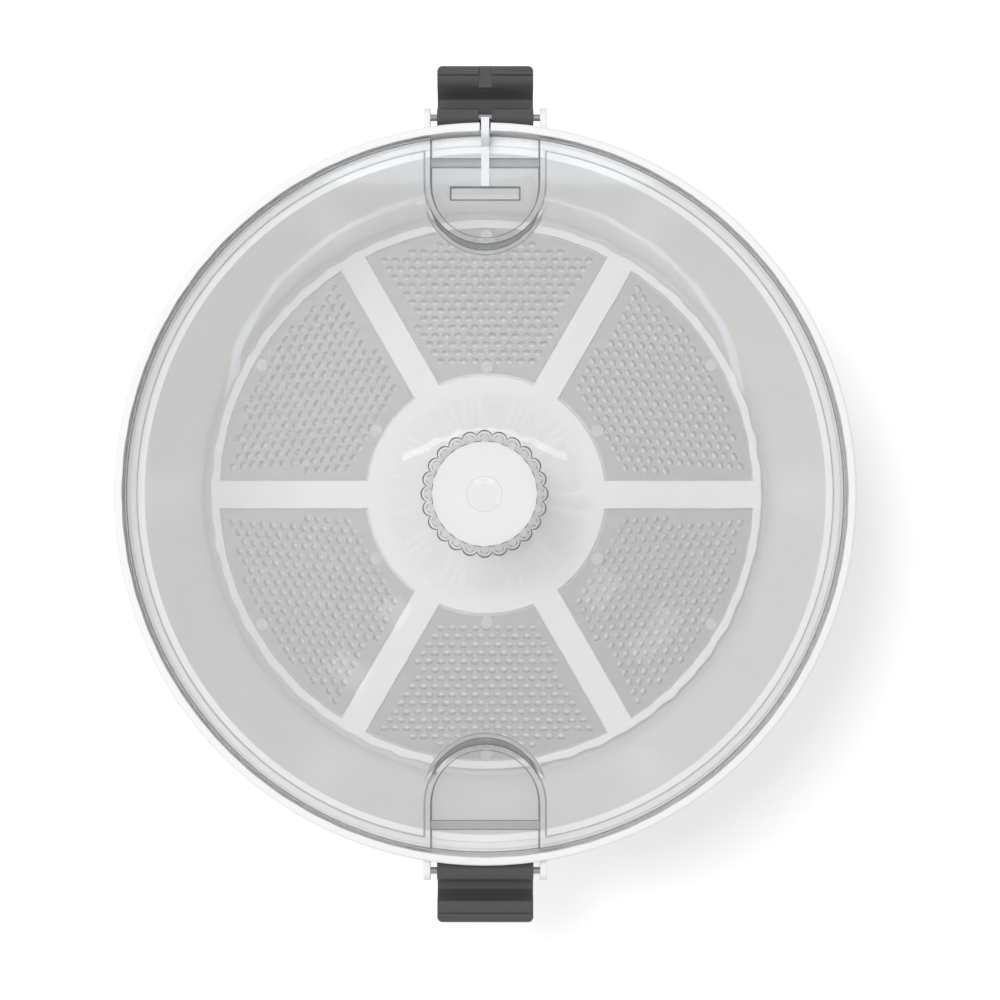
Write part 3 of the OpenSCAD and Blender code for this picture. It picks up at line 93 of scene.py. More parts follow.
class PeelerSizes(bpy.types.PropertyGroup):
    edge: FloatProperty(
        name="Moulded edge", description="Radius that softens the edges of the moulded pieces",
        default=0.35 * MM, min=0.1 * MM, max=1 * MM, unit="LENGTH", precision=5)
    flutes: IntProperty(name="Flutes", description="Scallops round the filler cap", default=24, min=8, max=40)
    flute_radius: FloatProperty(
        name="Flute radius", description="Radius of one scallop of the filler cap",
        default=2.7 * MM, min=1 * MM, max=4 * MM, unit="LENGTH", precision=5)
    grip_wall: FloatProperty(
        name="Grip wall", description="Wall of the clear grip of the filler cap",
        default=1.2 * MM, min=0.5 * MM, max=2 * MM, unit="LENGTH", precision=5)
    dimple: FloatProperty(
        name="Dimple", description="Radius of the dimple in the top of the filler cap",
        default=5.8 * MM, min=3 * MM, max=9 * MM, unit="LENGTH", precision=5)
    dimple_depth: FloatProperty(
        name="Dimple depth", description="Depth of the dimple in the top of the filler cap",
        default=0.6 * MM, min=0.2 * MM, max=1 * MM, unit="LENGTH", precision=5)
    rib_width: FloatProperty(
        name="Rib width", description="Width within which the lid's faces wear the rib's satin finish",
        default=2.7 * MM, min=2 * MM, max=2.9 * MM, unit="LENGTH", precision=5)
    knob_ribs: IntProperty(name="Knob ribs", description="Grip ribs round the switch knob", default=24, min=8, max=40)
    rib_radius: FloatProperty(
        name="Knob rib radius", description="Radius of one grip rib of the switch knob",
        default=0.9 * MM, min=0.4 * MM, max=1.5 * MM, unit="LENGTH", precision=5)
    cross: FloatProperty(
        name="Driver cross", description="Width of the cross in a screw's head",
        default=3.6 * MM, min=2 * MM, max=4.5 * MM, unit="LENGTH", precision=5)
    tooth_width: FloatProperty(
        name="Tooth width", description="Width of one raised grater tooth",
        default=3 * MM, min=1 * MM, max=5 * MM, unit="LENGTH", precision=5)
    tooth_rise: FloatProperty(
        name="Tooth rise", description="Height of a grater tooth above its plate",
        default=0.9 * MM, min=0.3 * MM, max=2 * MM, unit="LENGTH", precision=5)
    tooth_wall: FloatProperty(
        name="Tooth wall", description="Sheet thickness of a raised tooth",
        default=0.25 * MM, min=0.1 * MM, max=0.6 * MM, unit="LENGTH", precision=5)
    tooth_pitch: FloatProperty(
        name="Tooth pitch", description="Distance between teeth along a row",
        default=4.2 * MM, min=3 * MM, max=8 * MM, unit="LENGTH", precision=5)
    tooth_row: FloatProperty(
        name="Row pitch", description="Distance between rows of teeth",
        default=3.1 * MM, min=2.5 * MM, max=8 * MM, unit="LENGTH", precision=5)
    camera_height: FloatProperty(
        name="Camera height", description="Height of the camera above the rim",
        default=1.0, min=0.4, max=4, unit="LENGTH")
    view_width: FloatProperty(
        name="View width", description="Width that the camera sees at the rim",
        default=0.336, min=0.1, max=2, unit="LENGTH")


class PeelerColours(bpy.types.PropertyGroup):
    shell: FloatVectorProperty(
        name="White mouldings", description="Colour of the housing, bowl and disc",
        default=linear("F6F6F6")[:3], subtype="COLOR", size=3, min=0, max=1)
    # the disc's white, made a shade darker: painted shade for the depth of the bowl
    disc: FloatVectorProperty(
        name="Peeling disc", description="Colour of the disc that carries the grater plates",
        default=linear("EAEAEA")[:3], subtype="COLOR", size=3, min=0, max=1)
    dark: FloatVectorProperty(
        name="Dark mouldings", description="Colour of the clips and the switch knob",
        default=linear("505051")[:3], subtype="COLOR", size=3, min=0, max=1)
    seal: FloatVectorProperty(
        name="Lid seal", description="Colour of the silicone seal under the lid",
        default=linear("ECEDEE")[:3], subtype="COLOR", size=3, min=0, max=1)
    steel: FloatVectorProperty(
        name="Stainless sheet", description="Colour of the grater plates",
        default=linear("A6A8AA")[:3], subtype="COLOR", size=3, min=0, max=1)


# ---------------------------------------------------------------- materials


def add(tree, kind, links=None, **settings):
    """Adds a node, sets its properties and feeds its inputs from values or from other nodes' outputs."""
    node = tree.nodes.new(kind)
    for name, value in settings.items():
        setattr(node, name, value)
    for name, value in (links or {}).items():
        if isinstance(value, bpy.types.NodeSocket):
            tree.links.new(value, node.inputs[name])
        else:
            node.inputs[name].default_value = value
    return node


def finish(name, colour, rough, metallic=0.0, ior=1.5, coat=0.0, grain=None, mottle=None, streak=None):
    """One solid finish.

    grain is (size in mm, depth in mm) of the surface's relief, mottle (size in mm, share) of its change in colour
    and gloss, and streak a (x, y, z) stretch that turns the grain into brush lines along one direction.
    """
    material = bpy.data.materials.new(name)
    material.use_nodes = True
    tree = material.node_tree
    tree.nodes.clear()
    place = add(tree, "ShaderNodeTexCoord").outputs["Object"]
    if streak:
        place = add(tree, "ShaderNodeMapping", {"Vector": place, "Scale": streak}).outputs["Vector"]
    bsdf = add(tree, "ShaderNodeBsdfPrincipled", {
        "Base Color": [*colour[:3], 1.0], "Metallic": metallic, "Roughness": rough, "Coat Weight": coat,
        "Coat Roughness": 0.08})
    if not metallic:
        bsdf.inputs["IOR"].default_value = ior
    if mottle:
        size, share = mottle
        cloud = add(tree, "ShaderNodeTexNoise", {"Vector": place, "Scale": 1 / (size * MM), "Detail": 4.0,
                                                 "Roughness": 0.6})
        tint = add(tree, "ShaderNodeMix", {
            "Factor": cloud.outputs["Fac"], 6: [c * (1 - share) for c in colour[:3]] + [1.0],
            7: [min(1, c * (1 + share)) for c in colour[:3]] + [1.0]}, data_type="RGBA")
        tree.links.new(tint.outputs[2], bsdf.inputs["Base Color"])
        gloss = add(tree, "ShaderNodeMapRange", {
            "Value": cloud.outputs["Fac"], "To Min": rough * (1 - 2 * share), "To Max": rough * (1 + 2 * share)})
        tree.links.new(gloss.outputs["Result"], bsdf.inputs["Roughness"])
    if grain:
        size, depth = grain
        relief = add(tree, "ShaderNodeTexNoise", {"Vector": place, "Scale": 1 / (size * MM), "Detail": 2.0})
        bump = add(tree, "ShaderNodeBump", {"Height": relief.outputs["Fac"], "Distance": depth * MM, "Strength": 1.0})
        tree.links.new(bump.outputs["Normal"], bsdf.inputs["Normal"])
    add(tree, "ShaderNodeOutputMaterial", {"Surface": bsdf.outputs["BSDF"]})
    return material


def clear_plastic(name, tint, rough, clarity, pass_on=0.95):
    """Clear moulded plastic that bends sight but lets the lamps' light straight through, as a thin wall does.

    What it doesn't let through, 1 - clarity, scatters as a faint milky veil. pass_on is the lamps' share. It has
    no absorption in its volume, because light that enters by one finish and leaves by another would keep it.
    """
    material = bpy.data.materials.new(name)
    material.use_nodes = True
    tree = material.node_tree
    tree.nodes.clear()
    place = add(tree, "ShaderNodeTexCoord").outputs["Object"]
    # Mould flow: a swell 60 mm wide and a few micrometres deep, which makes highlights waver
    flow = add(tree, "ShaderNodeTexNoise", {"Vector": place, "Scale": 1 / (60 * MM), "Detail": 1.0})
    bump = add(tree, "ShaderNodeBump", {"Height": flow.outputs["Fac"], "Distance": 0.02 * MM, "Strength": 0.5})
    bsdf = add(tree, "ShaderNodeBsdfPrincipled", {
        "Base Color": tint, "Roughness": rough, "IOR": 1.49, "Transmission Weight": clarity,
        "Normal": bump.outputs["Normal"]})
    through = add(tree, "ShaderNodeBsdfTransparent", {"Color": [pass_on, pass_on, pass_on, 1.0]})
    ray = add(tree, "ShaderNodeLightPath")
    mix = add(tree, "ShaderNodeMixShader", {0: ray.outputs["Is Shadow Ray"], 1: bsdf.outputs["BSDF"],
                                            2: through.outputs["BSDF"]})
    add(tree, "ShaderNodeOutputMaterial", {"Surface": mix.outputs["Shader"]})
    return material


def wear(piece, *materials):
    """Gives a piece its materials, in the order of its faces' numbers, which clearing the slots would reset."""
    while len(piece.data.materials) > len(materials):
        piece.data.materials.pop()
    for i, material in enumerate(materials):
        if i < len(piece.data.materials):
            piece.data.materials[i] = material
        else:
            piece.data.materials.append(material)


def finishes():
    """Every finish of the peeler, made once, by the name of what it is."""
    if "ABS, moulded white" in bpy.data.materials:
        return {m.name: m for m in bpy.data.materials}
    hue = bpy.context.scene.peeler_colours
    white, dark = list(hue.shell), list(hue.dark)
    made = [
        # ABS from a polished mould: even and softly glossy, with a faint orange peel
        finish("ABS, moulded white", white, 0.32, ior=1.53, grain=(0.9, 0.003), mottle=(35, 0.012)),
        # Glass-filled ABS from an eroded mould: the clips' fine matt grain
        finish("ABS, moulded dark grey", dark, 0.42, ior=1.53, grain=(0.35, 0.012), mottle=(12, 0.05)),
        # Styrene-acrylonitrile of the lid: clear and glossy, with the milky veil of a wall handled every day
        clear_plastic("SAN, clear, used", linear("FDFDFC"), 0.03, 0.8, 0.98),
        # The same, tinted grey on the rounded edges: painted shade that draws the fine grey outline a clear edge
        # shows where it bends and traps light
        clear_plastic("SAN, clear, mould edges", linear("85888B"), 0.12, 0.6, 0.88),
        # The same on the steep walls of the recesses and the floors of the grooves, tinted light grey: painted shade
        # where sight runs along the clear walls
        clear_plastic("SAN, clear, drafted walls", linear("CDCFD1"), 0.08, 0.72, 0.92),
        # The same on the rib, grained to a satin that scatters all its light and looks white
        finish("SAN, satin rib", linear("EFF2F4"), 0.3, ior=1.57, grain=(0.5, 0.004), mottle=(8, 0.015)),
        # Acrylic of the cap's grip: hard, water clear and glossy
        clear_plastic("Acrylic, clear", linear("FDFDFD"), 0.01, 0.985),
        # Its edges, tinted dark grey: painted shade that outlines the flutes and the wall
        clear_plastic("Acrylic, clear, mould edges", linear("5C5F63"), 0.1, 0.55, 0.85),
        # The rounded brink of its dimple, tinted light grey: a faint ring of painted shade
        clear_plastic("Acrylic, clear, soft edge", linear("D2D4D6"), 0.06, 0.8),
        # ABS of the peeling disc and the cap's insert: the same white resin, made a shade darker as painted shade for
        # the depth of the bowl and the cap over the insert
        finish("ABS, moulded pale grey", list(hue.disc), 0.36, ior=1.53, grain=(0.9, 0.004), mottle=(35, 0.015)),
        # ABS with a satin chrome coat, of the ring round the switch knob
        finish("ABS, satin chrome", linear("C2C3C6"), 0.28, metallic=1.0, grain=(0.3, 0.002), mottle=(6, 0.03)),
        # Silicone of the lid's seal: pale, dull
        finish("Silicone, pale", list(hue.seal), 0.55, ior=1.41, grain=(0.4, 0.004), mottle=(9, 0.03)),
        # Silicone of the gasket: grey, dull
        finish("Silicone, grey", linear("B4B5B7"), 0.55, ior=1.41, grain=(0.4, 0.004), mottle=(9, 0.03)),
        # Cold-rolled stainless sheet, brushed: lines 0.25 mm apart along one direction
        finish("Stainless sheet, brushed", list(hue.steel), 0.34, metallic=1.0, grain=(0.5, 0.004),
               mottle=(10, 0.06), streak=(1, 14, 1)),
        # Ground stainless bar of the shafts, axles and pins
        finish("Stainless bar, ground", linear("C3C4C6"), 0.2, metallic=1.0, grain=(0.4, 0.002), mottle=(6, 0.05),
               streak=(1, 1, 9)),
        # Zinc-plated steel of the screws, nuts and springs: bluish and slightly cloudy
        finish("Steel, zinc plated", linear("B4B8BE"), 0.33, metallic=1.0, grain=(0.3, 0.003), mottle=(3, 0.1)),
        # Die-cast aluminium: grey, with a coarse skin
        finish("Aluminium, die cast", linear("A9ABAD"), 0.5, metallic=1.0, grain=(0.8, 0.02), mottle=(8, 0.08)),
        # Stamped electrical steel, stacked in 0.5 mm sheets: level lines round the stack
        finish("Electrical steel, stacked", linear("7C7D80"), 0.45, metallic=1.0, grain=(6, 0.05), mottle=(6, 0.15),
               streak=(1, 1, 12)),
        # Enamelled copper wire, wound in 0.5 mm turns
        finish("Copper wire, enamelled", linear("B0602F"), 0.35, metallic=1.0, grain=(5, 0.12), mottle=(5, 0.15),
               streak=(1, 1, 10)),
        # Sintered bronze of the bushes and the pinion: dull and finely porous
        finish("Bronze, sintered", linear("B58C52"), 0.48, metallic=1.0, grain=(0.3, 0.02), mottle=(2, 0.12)),
        # Natural acetal of the gears: ivory and waxy
        finish("Acetal, natural", linear("EDE7D6"), 0.38, ior=1.48, grain=(0.6, 0.004), mottle=(12, 0.02)),
        # Nitrile rubber of the feet, shaft seal and cord bush
        finish("Nitrile rubber, black", linear("2C2C2E"), 0.68, ior=1.52, grain=(0.3, 0.01), mottle=(5, 0.08)),
        # Nylon of the terminal block, rod and pointer
        finish("Nylon, white", linear("E6E5DF"), 0.45, ior=1.53, grain=(0.4, 0.005), mottle=(6, 0.03)),
        # Phenolic of the switch and microswitch: black, half matt
        finish("Phenolic, black", linear("232324"), 0.4, ior=1.6, grain=(0.4, 0.006), mottle=(5, 0.08)),
        # PVC wire insulation: brown, smooth
        finish("PVC, brown", linear("5E4030"), 0.36, ior=1.54, grain=(0.8, 0.004), mottle=(4, 0.06)),
    ]
    return {m.name: m for m in made}


FINISH_OF = {
    "ABS, moulded white": ["base_housing", "bottom_cover", "bowl"],
    "ABS, moulded pale grey": ["disc_carrier", "knob_insert"],
    "ABS, moulded dark grey": ["clip_left", "clip_right", "control_knob", "cooling_fan"],
    "SAN, clear, used": ["lid"],
    "Acrylic, clear": ["lid_knob"],
    "Silicone, pale": ["lid_seal"],
    "Silicone, grey": ["deck_gasket"],
    "ABS, satin chrome": ["knob_trim"],
    "Stainless sheet, brushed": ["grater_plate_%d" % i for i in range(1, 7)],
    "Stainless bar, ground": ["clip_pins", "plate_rivets", "main_shaft", "intermediate_axle", "motor_shaft"],
    "Steel, zinc plated": ["cover_screws", "bowl_screws", "gear_plate_screws", "motor_bolts", "shaft_circlip",
                           "switch_nut", "rod_spring", "drive_socket"],
    "Aluminium, die cast": ["gear_plate", "motor_upper_bracket", "motor_lower_bracket"],
    "Electrical steel, stacked": ["motor_stator", "motor_rotor"],
    "Copper wire, enamelled": ["motor_coil"],
    "Bronze, sintered": ["upper_bush", "lower_bush", "motor_bushes", "motor_pinion", "thrust_washer"],
    "Acetal, natural": ["output_gear", "intermediate_gear"],
    "Nitrile rubber, black": ["feet", "shaft_seal", "cord_gland"],
    "Nylon, white": ["push_rod", "terminal_block", "knob_pointer", "switch_plunger"],
    "Phenolic, black": ["rotary_switch", "microswitch"],
    "PVC, brown": ["inner_wires"],
}


# ---------------------------------------------------------------- making pieces


def only(geom, kind=bmesh.types.BMVert):
    """The vertices among what a bmesh operation made, or the edges or faces, in their order."""
    return [item for item in geom if isinstance(item, kind)]


def repeat_round(bm, count, axis, cent=(0, 0, 0)):
    """Repeats all that a bmesh holds at even steps round an axis."""
    geom = [*bm.verts, *bm.edges, *bm.faces]
    for i in range(1, count):
        made = bmesh.ops.duplicate(bm, geom=geom)["geom"]
        bmesh.ops.rotate(bm, verts=only(made), cent=cent, matrix=Matrix.Rotation(2 * math.pi * i / count, 3, axis))


def piece_from(name, bm, material, body, slot, *stands_for):
    """Turns a bmesh into a smooth-shaded piece that rides on a body; material is a name, or one per face number."""
    bmesh.ops.recalc_face_normals(bm, faces=bm.faces)
    mesh = bpy.data.meshes.new(name)
    bm.to_mesh(mesh)
    bm.free()
    mesh.polygons.foreach_set("use_smooth", [True] * len(mesh.polygons))
    mesh.set_sharp_from_angle(angle=math.radians(35))
    piece = bpy.data.objects.new(name, mesh)
    bpy.context.scene.collection.objects.link(piece)
    wear(piece, *(finishes()[m] for m in ([material] if isinstance(material, str) else material)))
    even = piece.modifiers.new("even shading", "WEIGHTED_NORMAL")
    even.keep_sharp, even.weight = True, 90
    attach(piece, body)
    if stands_for:
        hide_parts(*stands_for)
    return piece


def softened(node, width, sharp=40, number=0, keep=None):
    """A copy of a CAD node's mesh, merged, with its sharp edges rounded and numbered for their material.

    keep is a test of a point: an edge with both ends in it stays as it is.
    """
    bm = bmesh.new()
    bm.from_mesh(NODES[node].data)
    bmesh.ops.remove_doubles(bm, verts=bm.verts, dist=0.002 * MM)
    bmesh.ops.dissolve_limit(bm, angle_limit=math.radians(0.4), verts=bm.verts, edges=bm.edges)
    bmesh.ops.dissolve_degenerate(bm, dist=0.15 * MM, edges=bm.edges)
    # an edge stays sharp where one that it ends at, or a face beside it, is too small for the radius, so that
    # nothing folds over
    tight = {v for e in bm.edges if e.calc_length() < 1.2 * width for v in e.verts}

    def narrow(edge):
        start, end = (v.co for v in edge.verts)
        along = (end - start).normalized()
        return any(max((v.co - start - along * (v.co - start).dot(along)).length for v in face.verts) < 2.1 * width
                   for face in edge.link_faces)

    edges = [e for e in bm.edges if e.is_manifold and e.calc_face_angle(0) > math.radians(sharp)
             and not tight.intersection(e.verts) and not narrow(e)
             and not (keep and all(keep(v.co) for v in e.verts))]
    made = bmesh.ops.bevel(bm, geom=edges, offset=width, offset_type="OFFSET", segments=2, profile=0.5,
                           affect="EDGES", clamp_overlap=False, material=-1)
    if number:
        for face in made["faces"]:
            face.material_index = number
    return bm


class PeelerOperator:
    bl_options = {"REGISTER", "UNDO"}


class PEELER_OT_nodes(PeelerOperator, bpy.types.Operator):
    """Give every node of the frame its finish"""

    bl_idname = "peeler.nodes"
    bl_label = "Finish the frame"

    def execute(self, context):
        made = finishes()
        for name, nodes in FINISH_OF.items():
            for node in nodes:
                wear(NODES[node], made[name])
        missing = set(NODES) - {n for nodes in FINISH_OF.values() for n in nodes}
        if missing:
            raise RuntimeError("nodes without a finish: %s" % sorted(missing))
        return {"FINISHED"}


class PEELER_OT_mouldings(PeelerOperator, bpy.types.Operator):
    """Round the edges of the moulded shells"""

    bl_idname = "peeler.mouldings"
    bl_label = "Mouldings"

    def execute(self, context):
        size = context.scene.peeler_sizes
        for node, name, body, finish_name, slot in (
            ("base_housing", "housing_shell", "base", "ABS, moulded white", "white_plastic"),
            ("bottom_cover", "bottom_shell", "base", "ABS, moulded white", "white_plastic"),
            ("bowl", "bowl_shell", "base", "ABS, moulded white", "white_plastic"),
            ("disc_carrier", "disc_shell", "disc", "ABS, moulded pale grey", "white_plastic"),
            ("clip_left", "clip_left_soft", "left_clip", "ABS, moulded dark grey", "dark_plastic"),
            ("clip_right", "clip_right_soft", "right_clip", "ABS, moulded dark grey", "dark_plastic"),
            ("lid_seal", "seal_ring", "lid_body", "Silicone, pale", "silicone"),
            ("feet", "feet_soft", "base", "Nitrile rubber, black", "dark_rubber"),
            ("cord_gland", "gland_soft", "base", "Nitrile rubber, black", "dark_rubber"),
            ("control_knob", "knob_soft", "knob", "ABS, moulded dark grey", "dark_plastic"),
        ):
            bm = softened(node, size.edge * (0.6 if node.startswith("clip") else 1))
            if node == "lid_seal":
                # a hair of air under the clear edge, so that light gets in and out between the two
                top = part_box(node)[1].z
                for vert in bm.verts:
                    if vert.co.z > top - 0.5 * MM:
                        vert.co.z -= 0.15 * MM
            piece_from(name, bm, finish_name, body, slot, node)
        return {"FINISHED"}


class PEELER_OT_lid(PeelerOperator, bpy.types.Operator):
    """Make the clear lid: its shell, its edges and recess walls tinted grey as painted shade, and its satin rib"""

    bl_idname = "peeler.lid"
    bl_label = "Lid"

    def execute(self, context):
        size = context.scene.peeler_sizes
        # the rib is lower than the radius where it begins and the neck has small lugs, so their edges stay sharp
        clear, outline, drafted, rib = range(4)
        # outline numbers the rounded edges, which wear a grey tint of painted shade that outlines them
        bm = softened("lid", 0.85 * size.edge, number=outline, keep=lambda p: (
            abs(p.y) < 2 * MM and p.x > 100 * MM) or p.xy.length < NECK_REACH)
        for face in bm.faces:
            x, y = (max(abs(v.co[axis]) for v in face.verts) for axis in (0, 1))
            level = max(v.co.z for v in face.verts)
            if y < size.rib_width / 2 + 0.3 * MM and x > RECESS_X + 14 * MM:
                face.material_index = rib
            # the groove floors and the steep recess walls get a light grey tint: painted shade
            elif (y < GROOVE_HALF and GROOVE_NEAR < x < GROOVE_FAR
                  and GROOVE_Z - 0.3 * MM < level < GROOVE_Z + 0.6 * MM):
                face.material_index = drafted
            elif face.material_index == clear and x > RECESS_X and y < RECESS_SPAN and abs(face.normal.z) < 0.6:
                face.material_index = drafted
        piece_from("lid_shell", bm, ("SAN, clear, used", "SAN, clear, mould edges", "SAN, clear, drafted walls",
                                     "SAN, satin rib"), "lid_body", "clear_plastic", "lid")
        return {"FINISHED"}


class PEELER_OT_cap(PeelerOperator, bpy.types.Operator):
    """Make the clear fluted grip of the filler cap"""

    bl_idname = "peeler.cap"
    bl_label = "Filler cap"

    def execute(self, context):
        size = context.scene.peeler_sizes
        top, bottom = CAP_HIGH.z, CAP_LOW.z
        roof = 1.3 * MM
        ring = CAP_HIGH.x - size.flute_radius
        half = math.pi / size.flutes
        # outline numbers the cap's edges, tinted dark grey as painted shade; soft numbers the dimple's brink, tinted
        # light grey as a ring of painted shade
        clear, outline, soft = range(3)

        def scallops(bm, inset, z):
            """The scalloped outline as one face: one scallop is spun from a point, then repeated round the cap."""
            old = set(bm.edges)
            lobe = size.flute_radius - inset
            root = ring + 0.1 * MM - 0.8 * inset
            meet = ring * math.sin(half) < lobe
            if meet:
                reach = half + math.asin(ring * math.sin(half) / lobe)
            else:
                reach = math.acos((root**2 - ring**2 - lobe**2) / (2 * ring * lobe))
            first = bm.verts.new((ring + lobe * math.cos(reach), -lobe * math.sin(reach), z))
            arc = bmesh.ops.spin(bm, geom=[first], cent=(ring, 0, z), axis=(0, 0, 1), angle=2 * reach, steps=12)
            if not meet:
                last = only(arc["geom_last"])[0]
                for end, side in ((first, -1), (last, 1)):
                    valley = bm.verts.new((root * math.cos(half), side * root * math.sin(half), z))
                    bm.edges.new((end, valley))
            new = [e for e in bm.edges if e not in old]
            bmesh.ops.spin(bm, geom=[*{v for e in new for v in e.verts}, *new], cent=(0, 0, 0), axis=(0, 0, 1),
                           angle=2 * math.pi - 2 * half, steps=size.flutes - 1, use_duplicate=True)
            new = [e for e in bm.edges if e not in old]
            bmesh.ops.remove_doubles(bm, verts=list({v for e in new for v in e.verts}), dist=0.001 * MM)
            return bmesh.ops.edgeloop_fill(bm, edges=[e for e in bm.edges if e not in old])["faces"][0]

        def raise_face(bm, face, height, draw_in=0.0, number=clear):
            """Extrudes a face upwards, draws it in towards the cap's axis and numbers the sides it leaves."""
            known = set(bm.faces)
            lifted = bmesh.ops.extrude_face_region(bm, geom=[face])["geom"]
            if face.is_valid:
                bmesh.ops.delete(bm, geom=[face], context="FACES_ONLY")
            verts = only(lifted)
            share = 1 - draw_in / max(v.co.x for v in verts)
            bmesh.ops.translate(bm, vec=(0, 0, height), verts=verts)
            bmesh.ops.scale(bm, vec=(share, share, 1), verts=verts)
            for side in set(bm.faces) - known:
                side.material_index = number
            face = only(lifted, bmesh.types.BMFace)[0]
            face.material_index = clear
            return face

        bm = bmesh.new()
        skirt = scallops(bm, 0.0, bottom)
        crown = raise_face(bm, skirt, top - bottom - 0.5 * MM)
        crown = raise_face(bm, crown, 0.35 * MM, 0.12 * MM, outline)
        crown = raise_face(bm, crown, 0.15 * MM, 0.35 * MM, outline)
        # the dimple: a dish that is stepped down from a circle in the crown
        crown = max((f for f in bm.faces if f.calc_center_median().z > top - 0.01 * MM), key=lambda f: f.calc_area())
        rim = list(crown.edges)
        bmesh.ops.delete(bm, geom=[crown], context="FACES_ONLY")
        dish = bmesh.ops.create_circle(bm, segments=48, radius=size.dimple)["verts"]
        bmesh.ops.translate(bm, vec=(0, 0, top), verts=dish)
        edges = list({e for v in dish for e in v.link_edges})
        bmesh.ops.triangle_fill(bm, use_beauty=True, edges=rim + edges, normal=(0, 0, 1))
        wide = low = 0
        for share, depth in ((0.97, 0.03), (0.9, 0.16), (0.78, 0.45), (0.66, 0.75), (0.57, 0.93), (0.45, 1)):
            made = bmesh.ops.extrude_edge_only(bm, edges=edges)["geom"]
            verts = only(made)
            edges = only(made, bmesh.types.BMEdge)
            bmesh.ops.scale(bm, verts=verts, vec=(share / (wide or 1), share / (wide or 1), 1))
            bmesh.ops.translate(bm, vec=(0, 0, size.dimple_depth * (low - depth)), verts=verts)
            wide, low = share, depth
        bmesh.ops.edgeloop_fill(bm, edges=edges)
        bm.normal_update()
        # the dimple's brink is tinted light grey: a faint ring of painted shade
        for face in bm.faces:
            far = face.calc_center_median().xy.length
            if abs(face.normal.z) > 0.5 and far < ring:
                face.material_index = soft if 0.96 * size.dimple < far < size.dimple else clear
        # the cavity: its own outline, lifted to the roof, joined to the shell along the lower edge
        cavity = scallops(bm, size.grip_wall, bottom)
        cavity = raise_face(bm, cavity, top - roof - bottom - 0.3 * MM)
        # the cavity's roof edge is numbered for the dark grey tint of painted shade
        raise_face(bm, cavity, 0.3 * MM, 0.25 * MM, outline)
        bmesh.ops.triangle_fill(bm, use_beauty=True, edges=[e for e in bm.edges if e.is_boundary], normal=(0, 0, -1))
        piece_from("filler_grip", bm, ("Acrylic, clear", "Acrylic, clear, mould edges", "Acrylic, clear, soft edge"),
                   "cap", "clear_plastic", "lid_knob")
        return {"FINISHED"}


class PEELER_OT_teeth(PeelerOperator, bpy.types.Operator):
    """Press the raised teeth of the six grater plates"""

    bl_idname = "peeler.teeth"
    bl_label = "Grater teeth"

    def execute(self, context):
        size = context.scene.peeler_sizes
        inner, outer, margin, gap = 44.5 * MM, 97.5 * MM, 3.6 * MM, 5.45 * MM
        first = inner + margin + 0.8 * MM
        rows = math.floor((outer - inner - 2 * margin) / size.tooth_row + 1e-6)
        slope = math.tan(math.pi / 6)
        spots = []
        for i in range(rows + 1):
            x = first + i * size.tooth_row
            shift = i % 2 * size.tooth_pitch / 2
            reach = x * slope - gap / math.cos(math.pi / 6) - margin
            n = math.floor((reach - shift) / size.tooth_pitch)
            for k in range(-n - i % 2, n + 1):
                y = shift + k * size.tooth_pitch
                if math.hypot(x, y) < outer - margin + 0.4 * MM:
                    spots.append(Vector((x, y, PLATE_TOP)))
        for plate in range(6):
            bm = bmesh.new()
            # one hood: a quarter of a flattened ball with a wall, its mouth towards the next spoke
            bmesh.ops.create_uvsphere(bm, u_segments=12, v_segments=6, radius=0.5)
            bmesh.ops.scale(bm, verts=bm.verts, vec=(size.tooth_width * 0.8, size.tooth_width, 2 * size.tooth_rise))
            for side in ((1, 0, 0), (0, 0, 1)):
                bmesh.ops.bisect_plane(bm, geom=[*bm.verts, *bm.edges, *bm.faces], dist=1e-7, plane_co=(0, 0, 0),
                                       plane_no=side, clear_inner=True)
            bmesh.ops.recalc_face_normals(bm, faces=bm.faces)
            bmesh.ops.solidify(bm, geom=bm.faces[:], thickness=size.tooth_wall)
            hood = [*bm.verts, *bm.edges, *bm.faces]
            for spot in spots:
                made = bmesh.ops.duplicate(bm, geom=hood)
                bmesh.ops.translate(bm, vec=spot, verts=only(made["geom"]))
            bmesh.ops.delete(bm, geom=only(hood), context="VERTS")
            bmesh.ops.rotate(bm, verts=bm.verts, cent=(0, 0, 0),
                             matrix=Matrix.Rotation(math.radians(60 * plate + 60), 3, "Z"))
            piece_from("grater_teeth_%d" % (plate + 1), bm, "Stainless sheet, brushed", "disc", "stainless")
        return {"FINISHED"}


